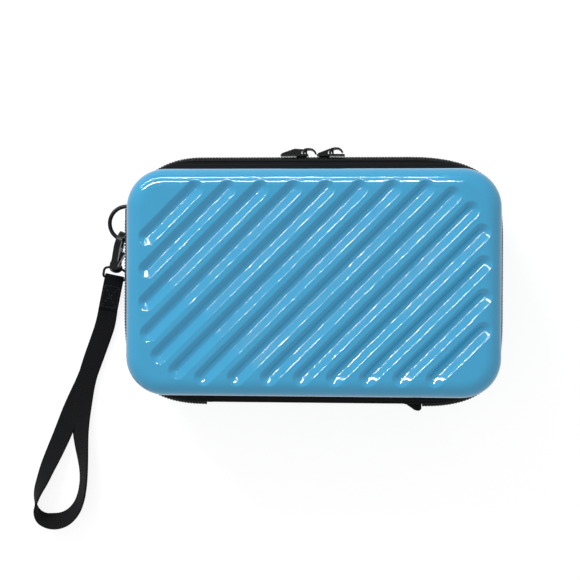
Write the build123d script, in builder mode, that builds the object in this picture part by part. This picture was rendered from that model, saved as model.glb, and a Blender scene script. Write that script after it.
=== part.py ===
from build123d import *
import math
import os

# A small hard-shell cosmetic case: two moulded shells joined by a zipped fabric band, with a side ring
# and a clip-on wrist strap. It lies on its back: X along the case, Y from the hinge to the zip, Z up.
# Lengths are millimetres, angles are degrees.

# Case
case_length = 185.0
case_width = 113.0
shell_depth = 23.0
band_height = 16.0
corner_radius = 20.0
wall = 1.6
draft = 3.0
face_rounding = 9.0
rounding_flats = 5
corner_flats = 9

# Slanted grooves in the moulded faces, which run at 45 degrees
groove_spacing = 11.85
groove_width = 8.0
groove_floor = 1.6
groove_depth = 2.2
groove_edge_run = 0.5
groove_edge_drop = 0.15
groove_end_flats = 6
groove_end_gap_x = 8.3
groove_end_gap_y = 9.5
groove_end_corner = 29.0

# Fabric band: how far it stands out beyond the shells at the zip, and where each side runs straight
bulge_top = 5.4
bulge_left = 3.0
bulge_bottom = 4.0
bulge_right = 0.3
flat_top = (-58.0, 48.0)
flat_bottom = (-56.0, 56.0)
flat_left = (-18.0, 28.0)
flat_right = (-20.0, 22.0)
fabric = 0.7
rim_inset = 0.5
band_gap = 0.8
band_flat = 3.8
band_flats = 6
coil_thickness = 1.5
coil_height = 1.5
hinge_half_width = 50.0
hinge_play = 0.3
end_tab_length = 10.0
end_tab_reach = 4.0
end_tab_rise = 3.4

# Inside
binding_thickness = 0.8
binding_height = 7.0
binding_lap = 1.5
lining_thickness = 0.8
lining_chamfer = 2.0
inside_play = 0.1

# Zip sliders and pulls
slider_length = 14.0
slider_width = 7.6
slider_tail_width = 5.8
slider_nose_length = 7.5
slider_plate = 1.0
slider_play = 0.3
flange = 0.8
post_length = 4.0
post_thickness = 0.4
bridge_rise = 2.9
bridge_width = 2.2
bridge_bar = 1.2
bridge_leg = 0.9
slider_left_start = -17.4
slider_right_start = 1.0
bridge_left = (0.4, 7.0, 13.4)
bridge_right = (0.4, 6.4, 8.4)
pull_wire = 0.55
pull_width = 5.8
pull_plate = 0.9
pull_play = 0.35
pull_opening = 3.5
pull_lift_left = 0.0
pull_lift_right = 7.0

# Side ring and its tab
wire_sides = 8
ring_wire = 1.05
ring_radius = 8.7
ring_corner = 1.2
ring_flats = 14
ring_bar_gap = 0.7
ring_slip = 1.9
tab_width = 11.0
tab_from_top = 24.5
tab_rise = 2.2
tab_webbing = 0.7
tab_play = 0.15

# Snap hook
hook_contact = 20.0
hook_slope = 42.0
hook_bend_inner = 3.2
hook_stock = 2.2
hook_thickness = 3.2
hook_bend_offset = 1.85
hook_length = 20.0
hook_block_start = 13.0
hook_block_end = 17.0
hook_block_thickness = 4.2
barrel_radius = 2.6
mouth_start = 4.6
gate_thickness = 1.8
gate_bar = 1.5
gate_root = 1.5
gate_pin_radius = 0.6
gate_pin_u = 14.8
gate_pin_v = -3.9
gate_play = 0.15
spring_thickness = 0.25
stem_radius = 1.1
stem_head = 1.9
stem_play = 0.2
eye_disc_radius = 3.5
eye_disc = 1.2
eye_wire = 0.65
eye_inner = 10.4
eye_length = 8.0
eye_turn = -12.3

# Wrist strap
webbing_width = 10.0
webbing = 1.1
layer_gap = 0.2
sewn_length = 17.0
sewn_layers = 3
sewn_slope = 12.5
sewn_heading = -101.5

# Heights and places that follow from these
zip_z = shell_depth + band_height / 2
rim_z = shell_depth + band_height
face_z = rim_z + shell_depth
half_length = case_length / 2
half_width = case_width / 2
hinge_y = -(half_width + bulge_bottom + coil_thickness + hinge_play)
top_tape_y = half_width + bulge_top
tab_y = half_width - tab_from_top
ring_bar_x = -(half_length + bulge_left + ring_bar_gap)
ring_y = tab_y - ring_slip
ring_z = shell_depth + tab_rise


def save(piece, name):
    """Label a finished piece and write it."""
    piece.part.label = name
    export_step(piece.part, f"parts/{name}.step")


def triangle(a, b, c):
    """A flat face on three points."""
    return Face(Wire.make_polygon([a, b, c]))


def closed_by_flats(rings, twisted=False):
    """A solid between outlines with the same number of corners. A twisted one has two triangles a side, and the
    two wide faces of a strip, whose outlines have four corners, are split the same way."""
    faces = [Face(Wire.make_polygon(rings[0])), Face(Wire.make_polygon(rings[-1]))]
    for upper, lower in zip(rings, rings[1:]):
        for k in range(len(upper)):
            a, b, c, d = upper[k - 1], upper[k], lower[k], lower[k - 1]
            if twisted and len(upper) == 4 and k > 1:
                faces.extend([triangle(a, b, d), triangle(b, c, d)])
            elif twisted:
                faces.extend([triangle(a, b, c), triangle(a, c, d)])
            else:
                faces.append(Face(Wire.make_polygon([a, b, c, d])))
    return Solid(Shell(faces))


def rounded_outline(height, gap):
    """The case's rounded rectangle at a height, drawn in by a gap, with flats for its corners."""
    radius = corner_radius - gap
    x, y = half_length - corner_radius, half_width - corner_radius
    corners = []
    for turn, across, along in ((0, x, y), (90, -x, y), (180, -x, -y), (270, x, -y)):
        for step in range(corner_flats + 1):
            angle = math.radians(turn + 90 * step / corner_flats)
            corners.append(Vector(across + radius * math.cos(angle), along + radius * math.sin(angle), height))
    return corners


os.makedirs("parts", exist_ok=True)


# Grooves: where the rounded ends stand, and the cutter for one groove
end_x = half_length - groove_end_gap_x
end_y = half_width - groove_end_gap_y
groove_step = groove_spacing * math.sqrt(2)
groove_reach = end_x + end_y - groove_end_corner * (2 - math.sqrt(2))
groove_pairs = int(groove_reach / groove_step + 0.4)
groove_shifts = [(k + 0.5) * groove_step for k in range(-groove_pairs, groove_pairs)]


def upper_end(shift):
    """Upper right end of the groove on the line x - y = shift, inside a rounded rectangle."""
    corner_x = end_x - groove_end_corner
    corner_y = end_y - groove_end_corner
    if end_y + shift <= corner_x:
        return Vector(end_y + shift, end_y)
    if end_x - shift <= corner_y:
        return Vector(end_x, end_x - shift)
    across = (corner_x - corner_y - shift) / math.sqrt(2)
    along = math.sqrt(groove_end_corner**2 - across**2)
    return Vector(corner_x + (along - across) / math.sqrt(2), corner_y + (along + across) / math.sqrt(2))


def groove_ends(shift):
    """Lower left and upper right ends: the pattern is the same after half a turn."""
    return upper_end(-shift) * -1, upper_end(shift)


def groove_outline(shift, half, height):
    """Corners of a groove's outline at a height, with flats for its rounded ends."""
    low, high = groove_ends(shift)
    corners = []
    for end, heading in ((high, 45), (low, 225)):
        for step in range(groove_end_flats + 1):
            angle = math.radians(heading - 90 + step * 180 / groove_end_flats)
            corners.append(Vector(end.X + half * math.cos(angle), end.Y + half * math.sin(angle), height))
    return corners


def groove_solid(shift, levels):
    """A groove's solid. Each level is a height and a half width."""
    return closed_by_flats([groove_outline(shift, half, height) for height, half in levels])


# Front shell: a drafted, rounded tray whose wall follows the grooves inside as ribs
rib_extra = wall * math.tan(math.atan2(groove_depth, (groove_width - groove_floor) / 2) / 2)
rib_top = groove_width / 2 + rib_extra
rib_floor = groove_floor / 2 + rib_extra
rib_levels = ((face_z - wall + 1, rib_top), (face_z - wall, rib_top), (face_z - wall - groove_depth, rib_floor))
groove_levels = (
    (face_z + 1, groove_width / 2),
    (face_z, groove_width / 2),
    (face_z - groove_edge_drop, groove_width / 2 - groove_edge_run),
    (face_z - groove_depth, groove_floor / 2),
)
inner_chamfer = (face_rounding - wall) * (2 - math.sqrt(2))
draft_slope = math.tan(math.radians(draft))


def drafted_outline(height, gap):
    """Outline of a drafted wall that has the gap at the rim."""
    return rounded_outline(height, gap + (height - rim_z) * draft_slope)


def drafted_block(top, gap, edge):
    """A drafted block from the rim up to its top, with a chamfered edge."""
    under_edge = drafted_outline(top - edge, gap)
    edge_gap = gap + (top - edge - rim_z) * draft_slope + edge
    return closed_by_flats([drafted_outline(rim_z, gap), under_edge, rounded_outline(top, edge_gap)])


rounding_middle = face_z - face_rounding
rounding_gap = (rounding_middle - rim_z) * draft_slope + face_rounding / math.cos(math.radians(draft))
outer_outlines = [drafted_outline(rim_z, 0)]
for step in range(rounding_flats + 1):
    angle = math.radians(draft + (90 - draft) * step / rounding_flats)
    height = rounding_middle + face_rounding * math.sin(angle)
    outer_outlines.append(rounded_outline(height, rounding_gap - face_rounding * math.cos(angle)))

with BuildPart() as shell_cavity:
    add(drafted_block(face_z - wall, wall, inner_chamfer))
    add([groove_solid(shift, rib_levels) for shift in groove_shifts], mode=Mode.SUBTRACT)

with BuildPart() as front_shell:
    add(closed_by_flats(outer_outlines))
    add(shell_cavity.part, mode=Mode.SUBTRACT)
    add([groove_solid(shift, groove_levels) for shift in groove_shifts], mode=Mode.SUBTRACT)
save(front_shell, "front_shell")

# Rear shell: the same moulding, turned over
turn_over = Axis((0, 0, zip_z), (0, 1, 0))
with BuildPart() as rear_shell:
    add(front_shell.part.rotate(turn_over, 180))
save(rear_shell, "rear_shell")


# Binding and lining inside the front shell, then turned over for the rear one
binding_gap = wall + inside_play / 2
lining_gap = binding_gap + binding_thickness + inside_play / 2
lining_top = face_z - wall - groove_depth - inside_play

with BuildPart() as front_binding:
    for gap, mode in ((binding_gap, Mode.ADD), (binding_gap + binding_thickness, Mode.SUBTRACT)):
        outlines = [rounded_outline(rim_z - binding_lap, gap), rounded_outline(rim_z, gap)]
        outlines.append(drafted_outline(rim_z + binding_height, gap))
        add(closed_by_flats(outlines), mode=mode)
save(front_binding, "front_binding")

with BuildPart() as front_lining:
    for inset, mode in ((0, Mode.ADD), (lining_thickness, Mode.SUBTRACT)):
        edge = lining_chamfer - inset * (2 - math.sqrt(2))
        add(drafted_block(lining_top - inset, lining_gap + inset, edge), mode=mode)
save(front_lining, "front_lining")

with BuildPart() as rear_binding:
    add(front_binding.part.rotate(turn_over, 180))
save(rear_binding, "rear_binding")

with BuildPart() as rear_lining:
    add(front_lining.part.rotate(turn_over, 180))
save(rear_lining, "rear_lining")


# Fabric band: its outline at a share of the full bulge, as four sides that meet on the corners' diagonals
def band_outline(height, share, inset):
    """Corners of the outline at a height: a straight stretch a side between curves; share 0 is the shell's own."""
    diagonal = corner_radius * (1 - math.sqrt(0.5)) + inset * math.sqrt(0.5)
    x, y = half_length - diagonal, half_width - diagonal
    top = half_width + share * bulge_top - inset
    bottom = half_width + share * bulge_bottom - inset
    left = half_length + share * bulge_left - inset
    right = half_length + share * bulge_right - inset

    def straight(span, half):
        ends = (corner_radius - half, half - corner_radius)
        return [share * a + (1 - share) * b for a, b in zip(span, ends)]

    top_from, top_to = straight(flat_top, half_length)
    bottom_from, bottom_to = straight(flat_bottom, half_length)
    left_from, left_to = straight(flat_left, half_width)
    right_from, right_to = straight(flat_right, half_width)
    curves = (
        ((x, y), (x - top + y, top), (top_to, top)),
        ((top_from, top), (top - y - x, top), (-x, y)),
        ((-x, y), (-left, y - left + x), (-left, left_to)),
        ((-left, left_from), (-left, left - x - y), (-x, -y)),
        ((-x, -y), (bottom - y - x, -bottom), (bottom_from, -bottom)),
        ((bottom_to, -bottom), (x - bottom + y, -bottom), (x, -y)),
        ((x, -y), (right, right - x - y), (right, right_from)),
        ((right, right_to), (right, y - right + x), (x, y)),
    )
    corners = []
    for start, bend, finish in curves:
        for step in range(band_flats + 1):
            t = step / band_flats
            shares = ((1 - t) ** 2, 2 * t * (1 - t), t**2)
            point = [sum(part * p[axis] for part, p in zip(shares, (start, bend, finish))) for axis in (0, 1)]
            if not corners or (Vector(*point, height) - corners[-1]).length > 0.001:
                corners.append(Vector(*point, height))
    return corners[:-1]


# Height above the zip's middle, share of the bulge and inset of each level of the band
band_levels = (
    (band_gap / 2, 1.0, 0.0),
    (band_flat, 1.0, 0.0),
    (band_height / 2 - 1.4, 0.7, 0.0),
    (band_height / 2, 0.0, rim_inset),
)


def band_body(side):
    """The upper (side 1) or lower (side -1) half of the band, as one ring of fabric."""
    with BuildPart() as ring:
        for extra, mode in ((0, Mode.ADD), (fabric, Mode.SUBTRACT)):
            outlines = [
                band_outline(zip_z + side * height, share, inset + extra)
                for height, share, inset in band_levels
            ]
            add(closed_by_flats(outlines, twisted=True), mode=mode)
    return ring.part


def hinge_zone(margin=0.0):
    """Block round the middle of the bottom side, where the hinge strip takes the zip's place."""
    with BuildPart(mode=Mode.PRIVATE) as zone:
        with Locations((0, -half_width, zip_z)):
            Box(2 * (hinge_half_width + margin), case_width / 2, 2 * band_height)
    return zone.part


# Ring tab: webbing folded round the ring's bar, with its tail sewn between the tape and the binding
tab_height = ring_wire + tab_play + tab_webbing
tab_inner_x = -(half_length - binding_gap) - inside_play


def tab_notch():
    """Slot in the rear tape for the tab."""
    with BuildPart(mode=Mode.PRIVATE) as notch:
        with Locations((tab_inner_x, tab_y, ring_z)):
            Box(20, tab_width + 2 * tab_play, 2 * (tab_height + tab_play))
    return notch.part


for side, name in ((1, "front"), (-1, "rear")):
    ring_of_fabric = band_body(side)
    with BuildPart() as zip_tape:
        add(ring_of_fabric)
        add(hinge_zone(), mode=Mode.SUBTRACT)
        if side < 0:
            add(tab_notch(), mode=Mode.SUBTRACT)
    save(zip_tape, f"{name}_zip_tape")
    with BuildPart() as hinge_leaf:
        add(ring_of_fabric)
        add(hinge_zone(), mode=Mode.INTERSECT)
    save(hinge_leaf, f"{name}_hinge_leaf")
    with BuildPart() as zip_coil:
        for inset, mode in ((-coil_thickness, Mode.ADD), (0, Mode.SUBTRACT)):
            near = band_outline(zip_z + side * band_gap / 2, 1.0, inset)
            far = band_outline(zip_z + side * (band_gap / 2 + coil_height), 1.0, inset)
            add(closed_by_flats([near, far]), mode=mode)
        add(hinge_zone(end_tab_reach), mode=Mode.SUBTRACT)
    save(zip_coil, f"{name}_zip_coil")

with BuildPart() as ring_tab:
    with BuildSketch(Plane.XZ.offset(-(tab_y + tab_width / 2))):
        with Locations((ring_bar_x, ring_z)):
            Circle(tab_height)
        with Locations(((ring_bar_x + tab_inner_x) / 2, ring_z)):
            Rectangle(tab_inner_x - ring_bar_x, 2 * tab_height)
        with Locations((ring_bar_x, ring_z)):
            Circle(ring_wire + tab_play, mode=Mode.SUBTRACT)
    extrude(amount=tab_width)
save(ring_tab, "ring_tab")

# Zip end tab: a fold of fabric over the end of the coil, just past the hinge strip
with BuildPart() as zip_end_tab:
    with BuildSketch(Plane.XY.offset(zip_z - band_flat)):
        end = hinge_half_width + end_tab_reach - inside_play
        root = end - end_tab_length
        face = -(half_width + bulge_bottom)
        with BuildLine():
            FilletPolyline(
                (root, face),
                (root + 3.5, face - 0.8),
                (root + 6.5, face - end_tab_rise),
                (end, face - end_tab_rise),
                (end, face),
                radius=1.0,
            )
            Line((end, face), (root, face))
        make_face()
    extrude(amount=2 * band_flat)
save(zip_end_tab, "zip_end_tab")


# Zip sliders: two plates joined by a post that runs between the two rows of coil, and a bridge for the pull
outer_plate_y = top_tape_y + coil_thickness + slider_play
plate_top_y = outer_plate_y + slider_plate
inner_plate_y = top_tape_y - fabric - slider_play
pivot_y = plate_top_y + pull_wire + slider_play
pivot_room = 2 * (pull_wire + slider_play) + 0.3
pivot_left = slider_left_start + bridge_left[2] - bridge_leg - pivot_room / 2
pivot_right = slider_right_start + bridge_right[2] - bridge_leg - pivot_room / 2


def zip_slider(start, nose, bridge):
    """A slider from start along X, with its wide nose towards +X (nose 1) or -X (nose -1)."""
    middle = start + slider_length / 2
    nose_x = middle + nose * slider_length / 2
    neck_x = nose_x - nose * slider_nose_length
    tail_x = nose_x - nose * slider_length
    with BuildPart() as slider:
        with BuildSketch(Plane.XZ.offset(-plate_top_y)) as plate:
            with BuildLine():
                Polyline(
                    (nose_x, zip_z - slider_width / 2),
                    (neck_x, zip_z - slider_width / 2),
                    (tail_x, zip_z - slider_tail_width / 2),
                    (tail_x, zip_z + slider_tail_width / 2),
                    (neck_x, zip_z + slider_width / 2),
                    (nose_x, zip_z + slider_width / 2),
                    close=True,
                )
            make_face()
            fillet(plate.vertices(), 1.2)
        extrude(amount=slider_plate)
        extrude(plate.sketch.moved(Location((0, inner_plate_y - plate_top_y, 0))), amount=slider_plate)
        with Locations((nose_x - nose * (0.8 + post_length / 2), (inner_plate_y + outer_plate_y) / 2, zip_z)):
            Box(post_length, outer_plate_y - inner_plate_y, post_thickness)
        flange_y = top_tape_y + slider_play
        with Locations(((nose_x + neck_x) / 2, (flange_y + outer_plate_y) / 2, 0)):
            with Locations((0, 0, zip_z - (slider_width - flange) / 2)):
                Box(slider_nose_length - 2.4, outer_plate_y - flange_y, flange)
        low, peak, high = (start + x for x in bridge)
        top = plate_top_y + bridge_rise
        opening = top - bridge_bar
        with BuildSketch(Plane.XY.offset(zip_z - bridge_width / 2)):
            with BuildLine():
                FilletPolyline(
                    (low, plate_top_y),
                    (low, plate_top_y + 0.6),
                    (peak, top),
                    (high, top - 0.4),
                    (high, plate_top_y),
                    radius=0.5,
                )
                Line((high, plate_top_y), (low, plate_top_y))
            make_face()
            with Locations((high - bridge_leg - pivot_room / 2, (plate_top_y + opening) / 2)):
                RectangleRounded(pivot_room, opening - plate_top_y, 0.5, mode=Mode.SUBTRACT)
        extrude(amount=bridge_width)
    return slider


# Pulls: an arched plate with an opening for the bridge and a bar that turns under it
pull_points = ((0, 0), (0.9, 1.6), (2.9, 1.75), (4.6, 1.45), (5.8, 0.5), (6.3, -0.75))


def zip_pull(pivot_x, lift):
    """A pull on the bridge at pivot_x, raised by lift degrees."""
    with BuildPart() as pull:
        with BuildSketch(Plane.XY.offset(-pull_width / 2)):
            with BuildLine():
                FilletPolyline(*pull_points, radius=0.8)
            trace(line_width=pull_plate)
        extrude(amount=pull_width)
        with BuildSketch(Plane.XZ.offset(-10)):
            with Locations((pull_points[-1][0] / 2, 0)):
                RectangleRounded(pull_points[-1][0] + 2, pull_width, 1.8)
        extrude(amount=20, mode=Mode.INTERSECT)
        side_play = bridge_width / 2 + pull_play
        with Locations((pull_opening / 2 - 1, 0, 0)):
            Box(pull_opening + 2, 20, 2 * side_play, mode=Mode.SUBTRACT)
        Cylinder(pull_wire, pull_width)
    with BuildPart() as placed:
        add(pull.part.rotate(Axis.Z, lift).moved(Location((pivot_x, pivot_y, zip_z))))
    return placed


slider_left = zip_slider(slider_left_start, 1, bridge_left)
save(slider_left, "slider_left")
slider_right = zip_slider(slider_right_start, -1, bridge_right)
save(slider_right, "slider_right")
pull_left = zip_pull(pivot_left, pull_lift_left)
save(pull_left, "pull_left")
pull_right = zip_pull(pivot_right, pull_lift_right)
save(pull_right, "pull_right")

# Side ring: a half circle of wire in short flats, closed by a straight bar, lying level
with BuildPart() as d_ring:
    with BuildLine() as ring_path:
        half_bar = ring_radius - ring_corner
        bow = []
        for step in range(ring_flats + 1):
            angle = math.radians(90 + 180 * step / ring_flats)
            x = ring_bar_x - ring_corner + ring_radius * math.cos(angle)
            bow.append((x, ring_y + ring_radius * math.sin(angle), ring_z))
        bar_start = (ring_bar_x, ring_y - half_bar, ring_z)
        bar_end = (ring_bar_x, ring_y + half_bar, ring_z)
        Polyline((ring_bar_x, ring_y, ring_z), bar_end, *bow, bar_start, (ring_bar_x, ring_y, ring_z))
    with BuildSketch(Plane((ring_bar_x, ring_y, ring_z), z_dir=(0, 1, 0))):
        RegularPolygon(ring_wire, wire_sides)
    sweep(transition=Transition.RIGHT)
save(d_ring, "d_ring")

# Snap hook: drawn in its own upright plane, u from the ring down to the barrel, v up, n across
heading = math.radians(270 - hook_contact)
slope = math.radians(hook_slope)
level = Vector(math.cos(heading), math.sin(heading), 0)
hook_down = level * math.cos(slope) + Vector(0, 0, -math.sin(slope))
hook_across = Vector(level.Y, -level.X, 0)
ring_middle = Vector(ring_bar_x - ring_corner, ring_y, ring_z)
hook_point = ring_middle + level * ring_radius
hook_plane = Plane(hook_point, x_dir=hook_down, z_dir=hook_across)


def along_hook(u):
    """Plane across the hook's long axis at u, facing down the hook."""
    return Plane(hook_point + hook_down * u, x_dir=hook_across, z_dir=hook_down)


outer_bend = hook_bend_inner + hook_stock
with BuildPart() as hook_body:
    with BuildSketch(hook_plane.offset(-hook_thickness / 2)):
        with Locations((hook_bend_offset, 0)):
            Circle(outer_bend)
            with Locations((outer_bend, 0)):
                Rectangle(2 * outer_bend, 2 * outer_bend)
        with Locations(((hook_bend_offset + hook_block_end) / 2, 0)):
            Rectangle(hook_block_end - hook_bend_offset, 2 * outer_bend)
        with Locations((hook_bend_offset, 0)):
            Circle(hook_bend_inner, mode=Mode.SUBTRACT)
        with Locations(((hook_bend_offset + hook_block_start) / 2, 0)):
            Rectangle(hook_block_start - hook_bend_offset, 2 * hook_bend_inner, mode=Mode.SUBTRACT)
        with Locations(((mouth_start + hook_block_start) / 2, -outer_bend)):
            Rectangle(hook_block_start - mouth_start, 2 * outer_bend, mode=Mode.SUBTRACT)
    extrude(amount=hook_thickness)
    with BuildSketch(hook_plane.offset(-hook_block_thickness / 2)):
        with Locations(((hook_block_start + hook_block_end) / 2, 0)):
            RectangleRounded(hook_block_end - hook_block_start, 2 * outer_bend, 0.8)
    extrude(amount=hook_block_thickness)
    with BuildSketch(along_hook(hook_block_end - 0.5)):
        Circle(barrel_radius)
    extrude(amount=hook_length - hook_block_end + 0.5)
    with BuildSketch(along_hook(hook_block_start - 1)):
        Circle(stem_radius + stem_play)
    extrude(amount=hook_length - hook_block_start + 2, mode=Mode.SUBTRACT)
    slot_half = gate_thickness / 2 + gate_play
    with BuildSketch(hook_plane.offset(-slot_half)):
        with Locations((gate_pin_u, -outer_bend)):
            Rectangle(2 * (gate_root + 0.3), 2 * (outer_bend + gate_pin_v + gate_root + 0.3))
    extrude(amount=2 * slot_half, mode=Mode.SUBTRACT)
    with BuildSketch(hook_plane.offset(-hook_block_thickness)):
        with Locations((gate_pin_u, gate_pin_v)):
            Circle(gate_pin_radius)
    extrude(amount=2 * hook_block_thickness, mode=Mode.SUBTRACT)
save(hook_body, "hook_body")

with BuildPart() as gate_pin:
    with BuildSketch(hook_plane.offset(-hook_block_thickness / 2)):
        with Locations((gate_pin_u, gate_pin_v)):
            Circle(gate_pin_radius)
    extrude(amount=hook_block_thickness)
save(gate_pin, "gate_pin")

# Gate: a lever from the pin to the hook's nose, with a thumb lug
gate_v = -(hook_bend_inner + hook_stock / 2)
gate_tip = mouth_start + gate_play
with BuildPart() as hook_gate:
    with BuildSketch(hook_plane.offset(-gate_thickness / 2)):
        with BuildLine():
            FilletPolyline(
                (gate_pin_u, gate_pin_v + gate_root),
                (gate_pin_u - 3, gate_v + gate_bar / 2),
                (gate_tip, gate_v + gate_bar / 2),
                (gate_tip, gate_v - gate_bar / 2),
                (gate_tip + 2.6, gate_v - gate_bar / 2),
                (gate_tip + 3.6, gate_v - gate_bar / 2 - 1.3),
                (gate_tip + 5.0, gate_v - gate_bar / 2 - 1.3),
                (gate_tip + 6.4, gate_v - gate_bar / 2),
                (gate_pin_u, gate_pin_v - gate_root),
                radius=0.3,
            )
            Line((gate_pin_u, gate_pin_v - gate_root), (gate_pin_u, gate_pin_v + gate_root))
        make_face()
        with Locations((gate_pin_u, gate_pin_v)):
            Circle(gate_root)
            Circle(gate_pin_radius + gate_play, mode=Mode.SUBTRACT)
    extrude(amount=gate_thickness)
save(hook_gate, "hook_gate")

# Gate spring: a strip of steel from the block to the back of the gate
with BuildPart() as gate_spring:
    with BuildSketch(hook_plane.offset(-gate_thickness / 3)):
        with BuildLine():
            FilletPolyline(
                (hook_block_start - 0.2, -stem_radius - stem_play - 0.6),
                (hook_block_start - 0.8, -stem_radius - stem_play - 0.9),
                (hook_block_start - 4.0, gate_v + gate_bar / 2 + 0.3),
                radius=0.4,
            )
        trace(line_width=spring_thickness)
    extrude(amount=2 * gate_thickness / 3)
save(gate_spring, "gate_spring")

# Swivel eye: a riveted stem, a disc and a wire loop whose far bar carries the strap
disc_start = hook_length + 0.25
loop_start = disc_start + eye_disc
bar_u = loop_start + eye_length - eye_wire
eye_half = eye_inner / 2 + eye_wire
eye_across = hook_across.rotate(Axis((0, 0, 0), hook_down), eye_turn)
with BuildPart() as swivel_eye:
    with BuildSketch(along_hook(hook_block_start - 0.3)):
        Circle(stem_radius)
    extrude(amount=disc_start - hook_block_start + 0.4)
    with BuildSketch(along_hook(hook_block_start - 1.2)):
        Circle(stem_head)
    extrude(amount=0.9)
    with BuildSketch(along_hook(disc_start)):
        Circle(eye_disc_radius)
    extrude(amount=eye_disc)
    with BuildLine(Plane(hook_point, x_dir=hook_down, z_dir=hook_down.cross(eye_across))) as loop_path:
        Polyline(
            (loop_start - 0.5, -1.6),
            (loop_start + 1.0, -eye_half + 0.6),
            (loop_start + 1.9, -eye_half),
            (bar_u - 0.7, -eye_half),
            (bar_u, -eye_half + 0.7),
            (bar_u, eye_half - 0.7),
            (bar_u - 0.7, eye_half),
            (loop_start + 1.9, eye_half),
            (loop_start + 1.0, eye_half - 0.6),
            (loop_start - 0.5, 1.6),
        )
    with BuildSketch(Plane(loop_path.line @ 0, z_dir=loop_path.line % 0)):
        RegularPolygon(eye_wire, wire_sides)
    sweep(transition=Transition.RIGHT)
save(swivel_eye, "swivel_eye")

# Sewn end of the strap: webbing folded round the eye's bar and stitched to itself
bar_point = hook_point + hook_down * bar_u
sewn_angle = math.radians(sewn_heading)
sewn_level = Vector(math.cos(sewn_angle), math.sin(sewn_angle), 0)
sewn_fall = math.radians(sewn_slope)
sewn_run = sewn_level * math.cos(sewn_fall) + Vector(0, 0, -math.sin(sewn_fall))
sewn_down = (sewn_run - eye_across * sewn_run.dot(eye_across)).normalized()
sewn_plane = Plane(bar_point, x_dir=sewn_down, z_dir=eye_across)
sewn_half = sewn_layers * webbing / 2
fold_radius = eye_wire + tab_play + webbing
with BuildPart() as strap_sewn_end:
    with BuildSketch(sewn_plane.offset(-webbing_width / 2)):
        Circle(fold_radius)
        with Locations((sewn_length / 2, 0)):
            Rectangle(sewn_length, 2 * sewn_half)
        Circle(eye_wire + tab_play, mode=Mode.SUBTRACT)
    extrude(amount=webbing_width)
save(strap_sewn_end, "strap_sewn_end")

# Wrist strap: one flat ribbon of webbing that leaves the sewn end, turns half over round the loop and comes
# back above itself. Each point is X, Y, height of the middle and tilt of the ribbon's face from level.
sewn_tip = bar_point + sewn_down * sewn_length
layer = (webbing + layer_gap) / 2
strap_points = (
    (-112.6, -21.5, 1.0, 180),
    (-115.6, -30.0, 0.62, 180),
    (-119.6, -41.0, 0.6, 180),
    (-123.8, -52.4, 0.6, 180),
    (-128.2, -61.5, 0.6, 178),
    (-132.0, -69.9, 0.75, 174),
    (-136.4, -81.6, 1.3, 170),
    (-140.9, -92.1, 2.4, 158),
    (-144.2, -99.6, 3.3, 147),
    (-146.7, -106.4, 4.0, 136),
    (-149.2, -112.6, 4.8, 122),
    (-150.0, -118.0, 5.2, 108),
    (-149.6, -122.6, 5.2, 90),
    (-146.8, -126.4, 4.8, 66),
    (-142.4, -127.9, 4.0, 46),
    (-137.6, -127.9, 3.8, 42),
    (-132.6, -125.9, 4.2, 46),
    (-128.2, -121.4, 4.6, 53),
    (-125.6, -115.6, 4.8, 58),
    (-124.3, -108.6, 4.8, 60),
    (-124.0, -102.0, 4.8, 58),
    (-124.5, -95.2, 4.5, 50),
    (-125.4, -88.0, 4.0, 38),
    (-126.1, -81.0, 3.3, 27),
    (-126.2, -73.5, 2.5, 14),
    (-125.3, -65.0, 2.0, 5),
    (-123.6, -53.5, 1.9, 0),
    (-120.2, -42.0, 1.9, 0),
    (-116.2, -31.0, 1.95, 0),
    (-112.9, -21.5, 2.45, 0),
)


def ribbon_plane(point, before, after, tilt):
    """Plane across the ribbon: local x along its width, local y out of its face."""
    run = (after - before).normalized()
    side = Vector(-run.Y, run.X, 0).normalized()
    turn = math.radians(tilt)
    width = side * -math.cos(turn) + Vector(0, 0, math.sin(turn))
    return Plane(point, x_dir=width, z_dir=run)


start = sewn_tip + sewn_plane.y_dir * -layer
finish = sewn_tip + sewn_plane.y_dir * layer
middles = [start] + [Vector(*p[:3]) for p in strap_points] + [finish]
tilts = [180] + [p[3] for p in strap_points] + [0]
strap_length = sum((b - a).length for a, b in zip(middles, middles[1:]))
with BuildPart() as wrist_strap:
    planes = [Plane(start, x_dir=eye_across * -1, z_dir=sewn_down)]
    for before, point, after, tilt in zip(middles, middles[1:], middles[2:], tilts[1:]):
        planes.append(ribbon_plane(point, before, after, tilt))
    planes.append(Plane(finish, x_dir=eye_across * -1, z_dir=sewn_down * -1))
    sections = []
    for plane in planes:
        across, through = plane.x_dir * webbing_width / 2, plane.y_dir * webbing / 2
        middle = plane.origin
        sections.append([middle - across - through, middle + across - through,
                         middle + across + through, middle - across + through])
    add(closed_by_flats(sections, twisted=True))
save(wrist_strap, "wrist_strap")
bends = []
for before, point, after in zip(middles, middles[1:], middles[2:]):
    turn = (point - before).get_angle(after - point)
    bends.append((after - before).length / 2 / math.sin(math.radians(max(turn, 0.1))))
cut_length = strap_length + 2 * sewn_length
print(f"strap: loop {strap_length:.1f} mm, cut {cut_length:.0f} mm, tightest bend radius {min(bends):.1f} mm")
section_volume = strap_length * webbing_width * webbing
print(f"strap: volume {wrist_strap.part.volume:.0f}, section times length {section_volume:.0f}")
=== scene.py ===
# %% [markdown]
# # A cosmetic case with a zip, a side ring and a wrist strap
#
# The case lies on its back on a pale table: X along it, Y from the fabric hinge to the zip, Z up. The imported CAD
# model is the frame. Each piece here goes where the CAD has it, rides on one of its bodies, and adds what a glossy
# moulding, woven tape, webbing and lacquered metal really show.

# %% Load the frame and keep its box
import math

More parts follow.
